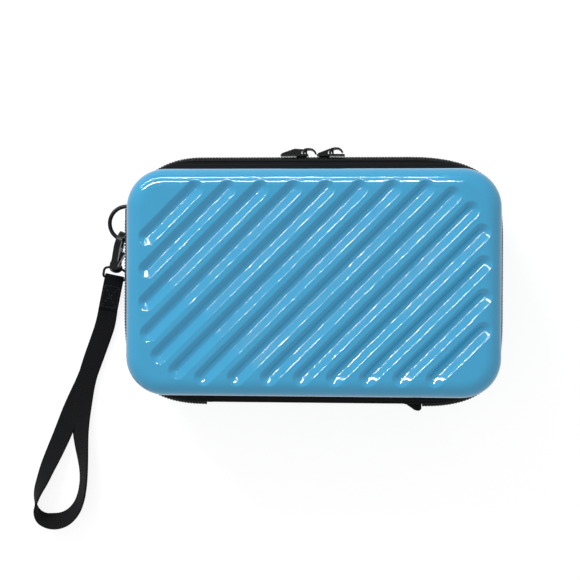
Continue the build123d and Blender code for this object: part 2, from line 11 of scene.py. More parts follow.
import bmesh
import bpy
from mathutils import Matrix, Vector
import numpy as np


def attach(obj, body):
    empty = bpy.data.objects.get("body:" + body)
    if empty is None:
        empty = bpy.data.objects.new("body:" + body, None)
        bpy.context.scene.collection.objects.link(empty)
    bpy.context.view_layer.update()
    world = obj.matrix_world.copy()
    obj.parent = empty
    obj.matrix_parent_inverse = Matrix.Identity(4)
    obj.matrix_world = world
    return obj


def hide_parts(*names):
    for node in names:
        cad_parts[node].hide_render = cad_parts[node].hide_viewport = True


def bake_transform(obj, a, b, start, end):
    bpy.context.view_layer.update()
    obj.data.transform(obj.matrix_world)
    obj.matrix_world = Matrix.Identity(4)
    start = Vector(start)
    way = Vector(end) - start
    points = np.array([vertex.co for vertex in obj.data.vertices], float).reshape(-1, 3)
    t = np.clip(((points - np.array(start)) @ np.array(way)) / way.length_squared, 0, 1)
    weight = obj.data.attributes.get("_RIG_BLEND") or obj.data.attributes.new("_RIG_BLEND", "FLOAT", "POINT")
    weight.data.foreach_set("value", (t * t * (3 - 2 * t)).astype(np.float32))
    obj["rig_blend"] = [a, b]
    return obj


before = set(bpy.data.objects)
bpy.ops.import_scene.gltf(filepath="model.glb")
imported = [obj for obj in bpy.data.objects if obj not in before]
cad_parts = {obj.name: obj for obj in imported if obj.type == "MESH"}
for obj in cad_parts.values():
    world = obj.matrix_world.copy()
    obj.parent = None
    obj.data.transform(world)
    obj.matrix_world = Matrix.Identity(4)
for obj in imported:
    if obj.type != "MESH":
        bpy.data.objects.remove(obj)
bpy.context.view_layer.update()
scene = bpy.context.scene

# %% [markdown]
# ## Camera
#
# The case is photographed from straight above, with the camera a little to the right of its middle. A camera can be
# aimed by eye, or solved from points whose real places are known. Solving is surer: corners of the case, the ring
# and the strap's loop gave this place, turn and lens, and each of them lands within half a pixel.

# %% Camera
camera = bpy.data.objects.new("camera", bpy.data.cameras.new("camera"))
scene.collection.objects.link(camera)
camera.location = (0.0347, 0.0, 0.700)
camera.rotation_euler = tuple(math.radians(angle) for angle in (-0.30975, 4.03557, 0.21254))
camera.data.lens = 82.237
camera.data.sensor_width = 36.0
scene.camera = camera
scene.view_settings.view_transform = "Standard"
print("camera", tuple(round(x, 4) for x in camera.location))

# %% [markdown]
# ## Strap route
#
# The wrist strap is one ribbon of 10 mm webbing. It leaves the sewn end, lies face down along the table, stands up
# on its edge round the loop, and comes back face up on top of itself. A ribbon could be a flat box swept along a
# path, but webbing turns over as it goes, so the route is two smooth lines: its middle and one of its edges. Every
# point has a place in metres and the ribbon's tilt there in degrees.

# %% Route of the strap
webbing_width = 0.010
webbing_thickness = 0.0011
strap_points = (
    (-0.1126, -0.0215, 0.0010, 180),
    (-0.1156, -0.0300, 0.00062, 180),
    (-0.1196, -0.0410, 0.0006, 180),
    (-0.1238, -0.0524, 0.0006, 180),
    (-0.1282, -0.0615, 0.0006, 178),
    (-0.1320, -0.0699, 0.00075, 174),
    (-0.1364, -0.0816, 0.0013, 170),
    (-0.1409, -0.0921, 0.0024, 158),
    (-0.1442, -0.0996, 0.0033, 147),
    (-0.1467, -0.1064, 0.0040, 136),
    (-0.1492, -0.1126, 0.0048, 122),
    (-0.1500, -0.1180, 0.0052, 108),
    (-0.1496, -0.1226, 0.0052, 90),
    (-0.1468, -0.1264, 0.0048, 66),
    (-0.1424, -0.1279, 0.0040, 46),
    (-0.1376, -0.1279, 0.0038, 42),
    (-0.1326, -0.1259, 0.0042, 46),
    (-0.1282, -0.1214, 0.0046, 53),
    (-0.1256, -0.1156, 0.0048, 58),
    (-0.1243, -0.1086, 0.0048, 60),
    (-0.1240, -0.1020, 0.0048, 58),
    (-0.1245, -0.0952, 0.0045, 50),
    (-0.1254, -0.0880, 0.0040, 38),
    (-0.1261, -0.0810, 0.0033, 27),
    (-0.1262, -0.0735, 0.0025, 14),
    (-0.1253, -0.0650, 0.0020, 5),
    (-0.1236, -0.0535, 0.0019, 0),
    (-0.1202, -0.0420, 0.0019, 0),
    (-0.1162, -0.0310, 0.00195, 0),
    (-0.1129, -0.0215, 0.00245, 0),
)
print("strap route", len(strap_points), "points, highest", max(point[2] for point in strap_points), "m")

# %% [markdown]
# The strap starts where the hook hangs. The hook slopes down from the ring to the table, the eye turns in its end,
# and the sewn end leaves the eye at its own angle. These directions could be read off the CAD model, but a few
# angles say more about how the hook lies, and the strap's first points follow from them.

# %% Directions of the hook and its eye
ring_bar = Vector((-0.0962, 0.0301, 0.0252))
ring_corner = 0.0012
ring_radius = 0.0087
hook_heading, hook_slope = math.radians(250), math.radians(42)
level = Vector((math.cos(hook_heading), math.sin(hook_heading), 0))
hook_down = level * math.cos(hook_slope) - Vector((0, 0, math.sin(hook_slope)))
hook_across = Vector((level.y, -level.x, 0))
hook_point = ring_bar - Vector((ring_corner, 0, 0)) + level * ring_radius
hook_to_eye_bar = 0.0288
eye_turn = math.radians(-12.3)
eye_bar = hook_point + hook_down * hook_to_eye_bar
eye_across = Matrix.Rotation(eye_turn, 3, hook_down) @ hook_across
print("hook point", tuple(round(x, 4) for x in hook_point), "eye bar", tuple(round(x, 4) for x in eye_bar))

# %% Directions of the sewn end
sewn_heading, sewn_slope = math.radians(-101.5), math.radians(12.5)
sewn_run = Vector((math.cos(sewn_heading), math.sin(sewn_heading), 0)) * math.cos(sewn_slope)
sewn_run.z = -math.sin(sewn_slope)
sewn_down = (sewn_run - eye_across * sewn_run.dot(eye_across)).normalized()
sewn_out = eye_across.cross(sewn_down)
sewn_length = 0.017
sewn_tip = eye_bar + sewn_down * sewn_length
print("sewn tip", tuple(round(x, 4) for x in sewn_tip))

# %% [markdown]
# A few points make a smooth line when they steer a NURBS curve. Blender works the curve out and gives it back as a
# mesh, whose vertices are the line.


# %% Curves as lines
def nurbs_curve(name, places):
    """A NURBS curve of order 3 that is steered by the places and starts and ends at the outer two."""
    curve = bpy.data.curves.new(name, "CURVE")
    curve.dimensions = "3D"
    curve.resolution_u = 6
    spline = curve.splines.new("NURBS")
    spline.points.add(len(places) - 1)
    for knot, place in zip(spline.points, places):
        knot.co = (*place, 1)
    spline.order_u = 3
    spline.use_endpoint_u = True
    return curve


def curve_mesh(curve):
    """The mesh that a curve gives. The curve is thrown away."""
    holder = bpy.data.objects.new(curve.name, curve)
    mesh = bpy.data.meshes.new_from_object(holder)
    bpy.data.objects.remove(holder)
    bpy.data.curves.remove(curve)
    return mesh


def curve_line(curve):
    """The points along a curve, in order. The curve is thrown away."""
    mesh = curve_mesh(curve)
    line = [vertex.co.copy() for vertex in mesh.vertices]
    bpy.data.meshes.remove(mesh)
    return line


def lengths(line):
    """How far along its line each point is."""
    total, found = 0.0, [0.0]
    for a, b in zip(line, line[1:]):
        total += (b - a).length
        found.append(total)
    return found


# %% Lines of the strap, from one edge of the webbing to the other
play_between_layers = 0.0002
layer = (webbing_thickness + play_between_layers) / 2
strap_middles = [sewn_tip - sewn_out * layer]
strap_middles += [Vector(point[:3]) for point in strap_points]
strap_middles.append(sewn_tip + sewn_out * layer)
strap_widths = [-eye_across]
for before, after, point in zip(strap_middles, strap_middles[2:], strap_points):
    run = (after - before).normalized()
    tilt = math.radians(point[3])
    side = Vector((-run.y, run.x, 0)).normalized()
    strap_widths.append(side * -math.cos(tilt) + Vector((0, 0, math.sin(tilt))))
strap_widths.append(-eye_across)
shares = (-1.0, -0.92, -0.8, -0.4, 0.0, 0.4, 0.8, 0.92, 1.0)
strap_lines = {
    share: curve_line(
        nurbs_curve("strap_line", [m + w * share * webbing_width / 2 for m, w in zip(strap_middles, strap_widths)])
    )
    for share in shares
}
strap_line = strap_lines[0.0]
strap_runs = lengths(strap_line)
print("strap", len(strap_line), "points,", round(strap_runs[-1] * 1000, 1), "mm")

# %% [markdown]
# ## Pieces as meshes
#
# Every new piece starts as a bmesh that operators shape. The case's sizes are easier to read in millimetres, so the
# helper below takes a bmesh in millimetres, scales it, and makes the object. A strip's cloth needs to know which way
# it runs, so two numbers on each vertex, across and along in metres, become its UV map.

# %% From a bmesh to a piece
MM = 0.001


def start_mesh():
    """An empty bmesh whose vertices can carry a place on the cloth."""
    bm = bmesh.new()
    bm.verts.layers.float.new("across")
    bm.verts.layers.float.new("along")
    return bm


def on_cloth(bm, vertex, across, along):
    """Write a vertex's place on the cloth, in metres."""
    vertex[bm.verts.layers.float["across"]] = across
    vertex[bm.verts.layers.float["along"]] = along


def make_piece(name, bm, scale=MM, smooth=True):
    """Turn a finished bmesh into an object at the origin, and free it."""
    bmesh.ops.scale(bm, vec=(scale, scale, scale), verts=bm.verts)
    across = bm.verts.layers.float.get("across")
    along = bm.verts.layers.float.get("along")
    if across is not None:
        uv = bm.loops.layers.uv.new("cloth")
        for face in bm.faces:
            for loop in face.loops:
                loop[uv].uv = (loop.vert[across], loop.vert[along])
    mesh = bpy.data.meshes.new(name)
    bm.to_mesh(mesh)
    bm.free()
    mesh.polygons.foreach_set("use_smooth", [smooth] * len(mesh.polygons))
    piece = bpy.data.objects.new(name, mesh)
    scene.collection.objects.link(piece)
    return piece


# %% Sheets from rows of edges
def line_vertices(bm, line, across, along):
    """Vertices joined in a row along a line, which carry their place on the cloth."""
    row = [bm.verts.new(place) for place in line]
    for vertex, run in zip(row, along):
        on_cloth(bm, vertex, across, run)
    return [bm.edges.new(pair) for pair in zip(row, row[1:])]


def bridge_rows(bm, rows):
    """Join each row of edges to the next one with faces."""
    for row, next_row in zip(rows, rows[1:]):
        bmesh.ops.bridge_loops(bm, edges=row + next_row)


def solidify(piece, thickness, offset):
    """Give a sheet its thickness."""
    sheet = piece.modifiers.new("thickness", "SOLIDIFY")
    sheet.thickness = thickness
    sheet.offset = offset
    sheet.use_even_offset = True


def face_outwards(bm):
    """Turn the faces of a wall that stands round the middle so that they point away from it."""
    bmesh.ops.recalc_face_normals(bm, faces=bm.faces)
    outward = 0.0
    for face in bm.faces:
        middle = face.calc_center_median()
        outward += face.calc_area() * face.normal.dot(Vector((middle.x, middle.y, 0)))
    if outward < 0:
        bmesh.ops.reverse_faces(bm, faces=bm.faces)


# %% [markdown]
# ## Wrist strap
#
# The webbing is one flat ribbon. Its lines are bridged one to the next, so its faces follow its length as the threads
# do, and a Solidify modifier gives it the thickness of the cloth. The rows lie closer together near the edges.

# %% Ribbon of the strap
bm = start_mesh()
bridge_rows(bm, [line_vertices(bm, strap_lines[share], share * webbing_width / 2, strap_runs) for share in shares])
wrist_strap = make_piece("wrist_strap_webbing", bm, scale=1)
solidify(wrist_strap, webbing_thickness * 0.96, 0)
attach(wrist_strap, "swivel")
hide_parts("wrist_strap")
print("strap faces", len(wrist_strap.data.polygons))

# %% Path of the free cord: the neck once and the loop once
declared = 0.225
strap_path = [tuple(place) for place, run in zip(strap_line, strap_runs) if run <= declared]
print("cord path", len(strap_path), "points")

# %% [markdown]
# ## Finishes
#
# A finish is a tree of shader nodes. Long node code hides what it does, so shader maths is written here as plain
# Python: a Reading wraps what a node gives, and each operator on it adds one Math node. Every other node comes from
# one method, which takes its type, its settings and the values or links of its sockets.


# %% Shader maths
class Reading:
    """What a shader node gives. Operators on it add Math nodes."""

    def __init__(self, nodes, socket):
        self.nodes = nodes
        self.socket = socket

    def maths(self, operation, *others):
        """A Math node on this reading and other readings or numbers."""
        inputs = {place: value for place, value in enumerate((self, *others))}
        return self.nodes.node("ShaderNodeMath", {"operation": operation}, inputs)

    def other(self, name):
        """Another output of the same node."""
        return Reading(self.nodes, self.socket.node.outputs[name])

    def __add__(self, other):
        return self.maths("ADD", other)

    __radd__ = __add__

    def __mul__(self, other):
        return self.maths("MULTIPLY", other)

    __rmul__ = __mul__

    def __sub__(self, other):
        return self.maths("SUBTRACT", other)

    def __rsub__(self, other):
        return self.maths("MULTIPLY", -1.0).maths("ADD", other)

    def sine(self):
        """The sine of the reading, in radians."""
        return self.maths("SINE")

    def absolute(self):
        """The reading without its sign."""
        return self.maths("ABSOLUTE")

    def above(self, limit):
        """1 where the reading is more than the limit, else 0."""
        return self.maths("GREATER_THAN", limit)

    def largest(self, *others):
        """The largest of this reading and others."""
        found = self
        for other in others:
            found = found.maths("MAXIMUM", other)
        return found

    def clamped(self):
        """The reading kept from 0 to 1."""
        return self.maths("MAXIMUM", 0.0).maths("MINIMUM", 1.0)


# %% Trees of nodes
class NodeTree:
    """The nodes of a material or of the world."""

    def __init__(self, tree):
        self.tree = tree

    def connect(self, value, socket):
        """Give a socket a value, or link a reading to it."""
        if isinstance(value, Reading):
            self.tree.links.new(value.socket, socket)
        else:
            socket.default_value = value

    def node(self, kind, settings=None, inputs=None, output=0):
        """Add a node with its settings first, then the values or links of its sockets, and read one output."""
        added = self.tree.nodes.new(kind)
        for name, value in (settings or {}).items():
            setattr(added, name, value)
        for place, value in (inputs or {}).items():
            self.connect(value, added.inputs[place])
        return Reading(self, added.outputs[output])

    def seen_share(self):
        """1 for the camera's rays and for those that bounce off gloss or pass through, else 0."""
        ray = self.node("ShaderNodeLightPath", output="Is Camera Ray")
        return ray.largest(ray.other("Is Glossy Ray"), ray.other("Is Transmission Ray"))


# %% Finishes
MIX_FIRST, MIX_SECOND, MIX_RESULT = 6, 7, 2


class Finish(NodeTree):
    """A material and the nodes that feed its shader."""

    def __init__(self, name, colour, roughness, **constants):
        self.material = bpy.data.materials.new(name)
        self.material.use_nodes = True
        super().__init__(self.material.node_tree)
        self.shader = self.tree.nodes["Principled BSDF"]
        self.set("Base Color", (*colour, 1))
        self.set("Roughness", roughness)
        for socket, value in constants.items():
            self.set(socket.replace("_", " "), value)

    def set(self, socket, value):
        """Set a socket of the shader to a value, or link a reading to it."""
        self.connect(value, self.shader.inputs[socket])

    def now(self, socket):
        """The reading that feeds a socket of the shader."""
        return Reading(self, self.shader.inputs[socket].links[0].from_socket)

    def place(self):
        """Object coordinates."""
        return self.node("ShaderNodeTexCoord", output="Object")

    def cloth(self):
        """Across and along, in metres, from the piece's own UV map."""
        uv = self.node("ShaderNodeUVMap", {"uv_map": "cloth"})
        across = self.node("ShaderNodeSeparateXYZ", inputs={"Vector": uv}, output="X")
        return across, across.other("Y")

    def noise(self, where, scale, detail=2.0):
        """A noise of lumps about 1 / scale metres wide, from 0 to 1."""
        return self.node("ShaderNodeTexNoise", None, {"Vector": where, "Scale": scale, "Detail": detail})

    def mix(self, share, first, second):
        """A colour between two colours, each a reading or a colour."""
        inputs = {"Factor": share}
        for place, colour in ((MIX_FIRST, first), (MIX_SECOND, second)):
            inputs[place] = colour if isinstance(colour, Reading) else (*colour, 1)
        return self.node("ShaderNodeMix", {"data_type": "RGBA"}, inputs, output=MIX_RESULT)

    def bump(self, height, distance, strength=1.0):
        """Raise the surface by height times a distance in metres."""
        inputs = {"Strength": strength, "Distance": distance, "Height": height}
        self.set("Normal", self.node("ShaderNodeBump", None, inputs, output="Normal"))


# %% [markdown]
# ## Finishes of this case
#
# The shells are moulded in coloured plastic with a clear skin: almost smooth, with the faint orange peel of a vacuum
# moulding. The colour could be one flat value, but a little mottling keeps it from looking painted on.

# %% Gloss of the shells
shell_gloss = Finish("shell_gloss", (0.028, 0.315, 0.55), 0.1, IOR=1.5)
here = shell_gloss.place()
mottle = shell_gloss.noise(here, 55.0, 4.0)
shell_gloss.set("Base Color", shell_gloss.mix(mottle, (0.024, 0.295, 0.525), (0.033, 0.330, 0.570)))
scuffs = (shell_gloss.noise(here, 900.0, 3.0) - 0.5) * 0.03
shell_gloss.set("Roughness", scuffs + 0.06)
orange_peel = shell_gloss.noise(here, 160.0, 2.0)
shell_gloss.bump(orange_peel, 0.00002, 0.05)
print("shell gloss", len(shell_gloss.tree.nodes), "nodes")

# %% [markdown]
# The band, the webbing, the lining and the binding are black cloths, which differ only in their weave. A photograph of
# cloth could be laid over them, but ribs and crossing threads are two sine waves, so one helper draws them from the UV
# map at the scale of each cloth, as bumps and as painted light and shade: paler raised threads and darker hollows.
# Where the tape is sewn to the band a dark line runs along each side.


# %% Weave of a cloth
def woven_finish(name, colour, thread, rib, rise, roughness=0.85, sheen=0.04):
    """A plain weave: threads across the cloth at one pitch and ribs along it at another, in metres."""
    finish = Finish(name, colour, roughness, Sheen_Weight=sheen, Sheen_Roughness=0.5, Specular_IOR_Level=0.04)
    across, along = finish.cloth()
    wander = finish.noise(finish.place(), 400.0, 2.0)
    weft = (across * (math.pi / thread)).sine()
    warp = (along * (math.pi / rib)).sine()
    over = weft * warp
    height = over.absolute() * 0.75 + over.above(0.0) * 0.25
    finish.bump(height + wander * 0.3, rise)
    # Painted light and shade: the colour follows the weave's height, paler on the raised threads and darker in the
    # hollows between them. The noise wander adds the cloth's own uneven tone.
    dark = tuple(0.45 * part for part in colour)
    pale = tuple(1.6 * part for part in colour)
    finish.set("Base Color", finish.mix((height * 0.8 + wander * 0.4 - 0.1).clamped(), dark, pale))
    finish.set("Roughness", (wander * 0.2 + (roughness - 0.1)).clamped())
    return finish


# %% Black cloths
zip_height = 31.0


def sewn_seam(finish, colour, height, width):
    """Darken a band cloth along a line at a height on both sides of the zip, where the tape is sewn to it."""
    along = finish.cloth()[1]
    away = ((along - zip_height * MM).absolute() - height).absolute()
    open_cloth = (away * (1 / width) - 0.4).clamped()
    finish.set("Base Color", finish.mix(open_cloth, colour, finish.now("Base Color")))


webbing_cloth = woven_finish("webbing_cloth", (0.0075, 0.0078, 0.0085), 0.0009, 0.0011, 0.00018)
band_cloth = woven_finish("band_cloth", (0.0100, 0.0105, 0.0115), 0.00045, 0.0005, 0.00006)
sewn_seam(band_cloth, (0.0015, 0.0015, 0.0018), 0.0063, 0.0005)
lining_cloth = woven_finish("lining_cloth", (0.016, 0.0165, 0.018), 0.0004, 0.0004, 0.00005)
binding_cloth = woven_finish("binding_cloth", (0.011, 0.0112, 0.012), 0.0006, 0.0018, 0.00012)
wrist_strap.data.materials.append(webbing_cloth.material)
print("cloths", [cloth.material.name for cloth in (webbing_cloth, band_cloth, lining_cloth, binding_cloth)])

# %% [markdown]
# The small parts need four more finishes: nylon for the zip's coil, twisted thread for the stitches, black lacquer
# over the cast metal, and bare spring steel for the gate's pin and spring. Each is a base colour with a fine grain in
# its roughness and its bump.

# %% Nylon of the coil, and thread
coil_nylon = Finish("coil_nylon", (0.012, 0.013, 0.013), 0.38, Specular_IOR_Level=0.25)
grain = coil_nylon.noise(coil_nylon.place(), 1500.0, 2.0)
coil_nylon.set("Roughness", grain * 0.25 + 0.28)
coil_nylon.bump(grain, 0.00003, 0.5)

thread_black = Finish("thread_black", (0.013, 0.013, 0.014), 0.6, Sheen_Weight=0.1, Specular_IOR_Level=0.15)
twist = thread_black.node("ShaderNodeTexWave", None, {"Vector": thread_black.place(), "Scale": 900.0})
thread_black.bump(twist, 0.00006)
print("coil nylon", len(coil_nylon.tree.nodes), "nodes, thread", len(thread_black.tree.nodes), "nodes")

# %% Black lacquer and spring steel
black_lacquer = Finish("black_lacquer", (0.008, 0.0084, 0.0092), 0.25, Specular_IOR_Level=0.12)
cast = black_lacquer.noise(black_lacquer.place(), 700.0, 4.0)
black_lacquer.set("Roughness", cast * 0.25 + 0.15)
black_lacquer.set("Base Color", black_lacquer.mix(cast, (0.0045, 0.0048, 0.0052), (0.011, 0.0115, 0.0125)))
black_lacquer.bump(cast, 0.00004, 0.6)

spring_steel = Finish("spring_steel", (0.56, 0.56, 0.57), 0.3, Metallic=1.0)
brushed = spring_steel.noise(spring_steel.place(), 2500.0, 3.0)
spring_steel.set("Roughness", brushed * 0.25 + 0.2)
spring_steel.bump(brushed, 0.00001, 0.5)
print("finishes", sorted(material.name for material in bpy.data.materials))


# %% Finish a piece and tell the frame about it
def finish_piece(piece, finish, body, slot, *nodes):
    """Give a piece its finish, the body it rides on and the CAD nodes that it replaces; the slot is not used."""
    piece.data.materials.append(finish.material)
    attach(piece, body)
    if nodes:
        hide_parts(*nodes)
    print(piece.name, len(piece.data.polygons), "faces on", body)


# %% [markdown]
# ## Shells
#
# Each shell is a drafted tray with a wide rounding round its face and fourteen slanted grooves with rounded ends.
# The highlights are what make it read as glossy plastic, and they live on the small roundings of the grooves, so a
# boolean cut with its hard edges would not do. Instead, each groove is drawn as its true section: extruded along its
# straight and spun round its two ends. The land between them is filled flat, and last the whole face is bent down
# over the rounding, grooves and all.
#
# The grooves run at 45 degrees. Their places follow the photograph, where they lie a little closer together than in
# the CAD model.

# %% Sizes of the shells, in millimetres
half_length, half_width = 92.5, 56.5
corner_radius = 20.0
rim_height, face_height = 39.0, 62.0
draft = math.radians(3)
face_rounding = 9.0
wall = 1.6
rounding_middle = face_height - face_rounding
rounding_gap = (rounding_middle - rim_height) * math.tan(draft) + face_rounding / math.cos(draft)
print("the rounding starts", round(rounding_gap, 2), "mm in from the outline")

# %% Sizes of the grooves, in millimetres
groove_half, groove_floor_half, groove_depth = 4.3, 0.9, 2.2
groove_top_radius, groove_floor_radius = 1.5, 1.4
groove_lean = 0.8
groove_margin = 0.9
groove_pitch, groove_pairs = 11.29, 7
groove_step = groove_pitch * math.sqrt(2)
groove_shift = Vector((1.2, -0.4, 0))
end_x, end_y, end_corner = half_length - 11.1, half_width - 10.8, 28.0
print("groove ends", end_x, "mm along and", end_y, "mm across")


# %% Where each groove starts and ends
def upper_end(shift):
    """Upper right end of the groove on the line x - y = shift, inside a rounded rectangle."""
    corner_x, corner_y = end_x - end_corner, end_y - end_corner
    if end_y + shift <= corner_x:
        return Vector((end_y + shift, end_y, 0))
    if end_x - shift <= corner_y:
        return Vector((end_x, end_x - shift, 0))
    across = (corner_x - corner_y - shift) / math.sqrt(2)
    along = math.sqrt(end_corner**2 - across**2)
    return Vector((corner_x + (along - across) / math.sqrt(2), corner_y + (along + across) / math.sqrt(2), 0))


groove_ends = []
for number in range(-groove_pairs, groove_pairs):
    shift = (number + 0.5) * groove_step
    groove_ends.append((groove_shift - upper_end(-shift), groove_shift + upper_end(shift)))
print("grooves", len(groove_ends), "longest", round(max((b - a).length for a, b in groove_ends), 1), "mm")


# %% Section of a groove, from the middle of its floor to the flat beside it
def arc_points(centre, radius, start, turn, steps):
    """Points of an arc in the section's plane."""
    found = []
    for step in range(steps + 1):
        angle = math.radians(start + turn * step / steps)
        found.append((centre[0] + radius * math.cos(angle), centre[1] + radius * math.sin(angle)))
    return found


flank = math.atan2(groove_depth, groove_half - groove_floor_half)
floor_start = groove_floor_half - groove_floor_radius * math.tan(flank / 2)
top_finish = groove_half + groove_top_radius * math.tan(flank / 2)
tilt = math.degrees(flank)
low_arc = arc_points((floor_start, groove_floor_radius - groove_depth), groove_floor_radius, -90, tilt, 6)
high_arc = arc_points((top_finish, -groove_top_radius), groove_top_radius, 90 + tilt, -tilt, 6)
low, high = Vector(low_arc[-1]), Vector(high_arc[0])
section = [(0.0, -groove_depth), (floor_start * 0.8, -groove_depth), *low_arc]
section += [tuple(low.lerp(high, share)) for share in (0.06, 0.94)]
section += [*high_arc, (top_finish + 0.08, 0.0), (groove_half + groove_margin, 0.0)]
print("flank", round(tilt, 1), "degrees; section", len(section), "points")


# %% Rounding of the face, and how deep a point lies inside the outline
def inside(x, y):
    """Distance of a point in from the shell's outline at the rim."""
    qx, qy = abs(x) - (half_length - corner_radius), abs(y) - (half_width - corner_radius)
    outside = math.hypot(max(qx, 0), max(qy, 0)) + min(max(qx, qy), 0)
    return corner_radius - outside


def face_drop(gap):
    """How far the face lies below its top at a distance in from the outline."""
    if gap >= rounding_gap:
        return 0.0
    return face_rounding - math.sqrt(max(face_rounding**2 - (rounding_gap - gap) ** 2, 0.0))


print("face drop", [(gap, round(face_drop(gap), 2)) for gap in (1, 3, 6, 9)])

# %% [markdown]
# One groove is a row of points across it, extruded in equal steps from one end to the other, with half a section spun
# half a turn at each end. The mould leans the grooves a little, so each point is then slid towards the upper left by
# its depth. That makes one flank steeper than the other, as the widths of the highlights show.

# %% One groove, at the height of the face
groove_stretch = 2.2
seam_reach = 0.003


def add_groove(bm, low, high):
    """Add a groove's surface between two ends, and return its open outer edge."""
    older = set(bm.verts)
    run = (high - low).normalized()
    side = Vector((run.y, -run.x, 0))
    steps = max(2, round((high - low).length / groove_stretch))
    lift = Vector((0, 0, face_height))
    across = [low - side * u + Vector((0, 0, v)) + lift for u, v in reversed(section)]
    across += [low + side * u + Vector((0, 0, v)) + lift for u, v in section[1:]]
    row = [bm.verts.new(place) for place in across]
    edges = [bm.edges.new(pair) for pair in zip(row, row[1:])]
    for _ in range(steps):
        grown = bmesh.ops.extrude_edge_only(bm, edges=edges)["geom"]
        moved = [item for item in grown if isinstance(item, bmesh.types.BMVert)]
        edges = [item for item in grown if isinstance(item, bmesh.types.BMEdge) and item.is_boundary]
        edges = [edge for edge in edges if all(vertex in moved for vertex in edge.verts)]
        bmesh.ops.translate(bm, verts=moved, vec=(high - low) / steps)
    for end, way in ((low, side), (high, -side)):
        half = [bm.verts.new(end + way * u + Vector((0, 0, v)) + lift) for u, v in section]
        half_edges = [bm.edges.new(pair) for pair in zip(half, half[1:])]
        bmesh.ops.spin(
            bm, geom=half + half_edges, cent=end + lift, axis=(0, 0, 1), angle=-math.pi, steps=14, use_merge=False
        )
    newer = [vertex for vertex in bm.verts if vertex not in older]
    bmesh.ops.remove_doubles(bm, verts=newer, dist=seam_reach)
    newer = [vertex for vertex in bm.verts if vertex not in older]
    for vertex in newer:
        vertex.co -= side * groove_lean * (face_height - vertex.co.z) / groove_depth
    return list({edge for vertex in newer for edge in vertex.link_edges if edge.is_boundary})


# %% [markdown]
# The wall of a shell is the case's outline, grown inwards. A grid of one face has its corners bevelled round, which
# gives the outline, and each inset of that face with a new height adds one ring of the wall. The same two steps make
# the lining and the binding later.


# %% Outlines that grow inwards, ring by ring
def outline_face(bm, height, gap=0.0, spacing=4.0):
    """A face with the case's rounded outline at a height, its long sides divided."""
    older = set(bm.faces)
    size = Matrix.Diagonal((half_length - gap, half_width - gap, 1, 1))
    place = Matrix.Translation((0, 0, height)) @ size
    made = bmesh.ops.create_grid(bm, x_segments=1, y_segments=1, size=1, matrix=place)
    bmesh.ops.bevel(
        bm, geom=made["verts"], affect="VERTICES", offset=corner_radius - gap, segments=14, profile=0.5, material=-1
    )
    face = [face for face in bm.faces if face not in older][0]
    for edge in [edge for edge in face.edges if edge.calc_length() > 3 * spacing]:
        bmesh.ops.subdivide_edges(bm, edges=[edge], cuts=round(edge.calc_length() / spacing) - 1)
    return [face for face in bm.faces if face not in older][0]


def grow_inward(bm, face, profile):
    """Inset a face through a profile of gaps and heights."""
    for (gap, height), (next_gap, next_height) in zip(profile, profile[1:]):
        bmesh.ops.inset_region(bm, faces=[face], thickness=next_gap - gap, use_even_offset=True, use_boundary=True)
        bmesh.ops.translate(bm, verts=face.verts, vec=(0, 0, next_height - height))
    return face


# %% Profile of the shell's outside and inside, as gaps and heights
fill_gap = 3.0
shell_profile = [(0.0, rim_height), (0.12, rim_height + 0.1)]
wall_top = rounding_middle + face_rounding * math.sin(draft)
for height in (rim_height + 4, rim_height + 9, wall_top):
    shell_profile.append(((height - rim_height) * math.tan(draft) + 0.05, height))
for gap in (0.95, 1.2, 1.5, 1.85, 2.25, 2.6, fill_gap):
    shell_profile.append((gap, face_height - face_drop(gap)))
inner_profile = ((0.0, rim_height), (wall, rim_height), (wall + 0.9, 56.0), (wall + 3.5, 58.4), (wall + 6, 58.4))
print("shell profile", [(round(a, 2), round(b, 2)) for a, b in shell_profile])

# %% [markdown]
# The land between the grooves is filled in one go, from the loops round the grooves to the last ring of the wall. The
# fill is flat and its triangles are long, which is fine in the middle but not on the rounding, where they would cut
# across the curve. So those that reach the rounding are halved until they are short.


# %% Fill the land between the grooves
def divide_border(bm, faces, longest):
    """Cut the inner edges of the filled land that lie on the rounding and are too long."""
    land = set(faces)
    edges = []
    for edge in {edge for face in faces for edge in face.edges}:
        nearest = min(inside(vertex.co.x, vertex.co.y) for vertex in edge.verts)
        if len(edge.link_faces) == 2 and all(face in land for face in edge.link_faces):
            if edge.calc_length() > longest and nearest < rounding_gap + 0.5:
                edges.append(edge)
    older = set(bm.faces) - land
    bmesh.ops.subdivide_edges(bm, edges=edges, cuts=1)
    faces = [face for face in bm.faces if face not in older]
    bmesh.ops.triangulate(bm, faces=faces)
    return [face for face in bm.faces if face not in older]


def fill_land(bm, open_edges):
    """Fill between open loops that all lie at the height of the face."""
    older = set(bm.faces)
    bmesh.ops.triangle_fill(bm, edges=open_edges, use_beauty=True, use_dissolve=False, normal=(0, 0, 1))
    faces = [face for face in bm.faces if face not in older]
    for longest in (10.0, 5.0, 5.0, 2.5, 2.5, 1.3, 1.3):
        faces = divide_border(bm, faces, longest)
    return faces


# %% Mould the front shell
bm = bmesh.new()
face = grow_inward(bm, outline_face(bm, rim_height), shell_profile)
for vertex in face.verts:
    vertex.co.z = face_height
open_edges = list(face.edges)
bmesh.ops.delete(bm, geom=[face], context="FACES_ONLY")
for low, high in groove_ends:
    open_edges += add_groove(bm, low, high)
land = fill_land(bm, open_edges)
for vertex in bm.verts:
    gap = inside(vertex.co.x, vertex.co.y)
    if gap > fill_gap - 0.2:  # the wall outside the fill already has its height
        vertex.co.z -= face_drop(gap)
grow_inward(bm, outline_face(bm, rim_height), inner_profile)
bmesh.ops.remove_doubles(bm, verts=bm.verts, dist=seam_reach)
bmesh.ops.recalc_face_normals(bm, faces=bm.faces)
open_left = sum(edge.is_boundary for edge in bm.edges)
print("shell faces", len(bm.faces), "of them land", len(land), "open edges", open_left)
shell_front = make_piece("shell_front", bm)

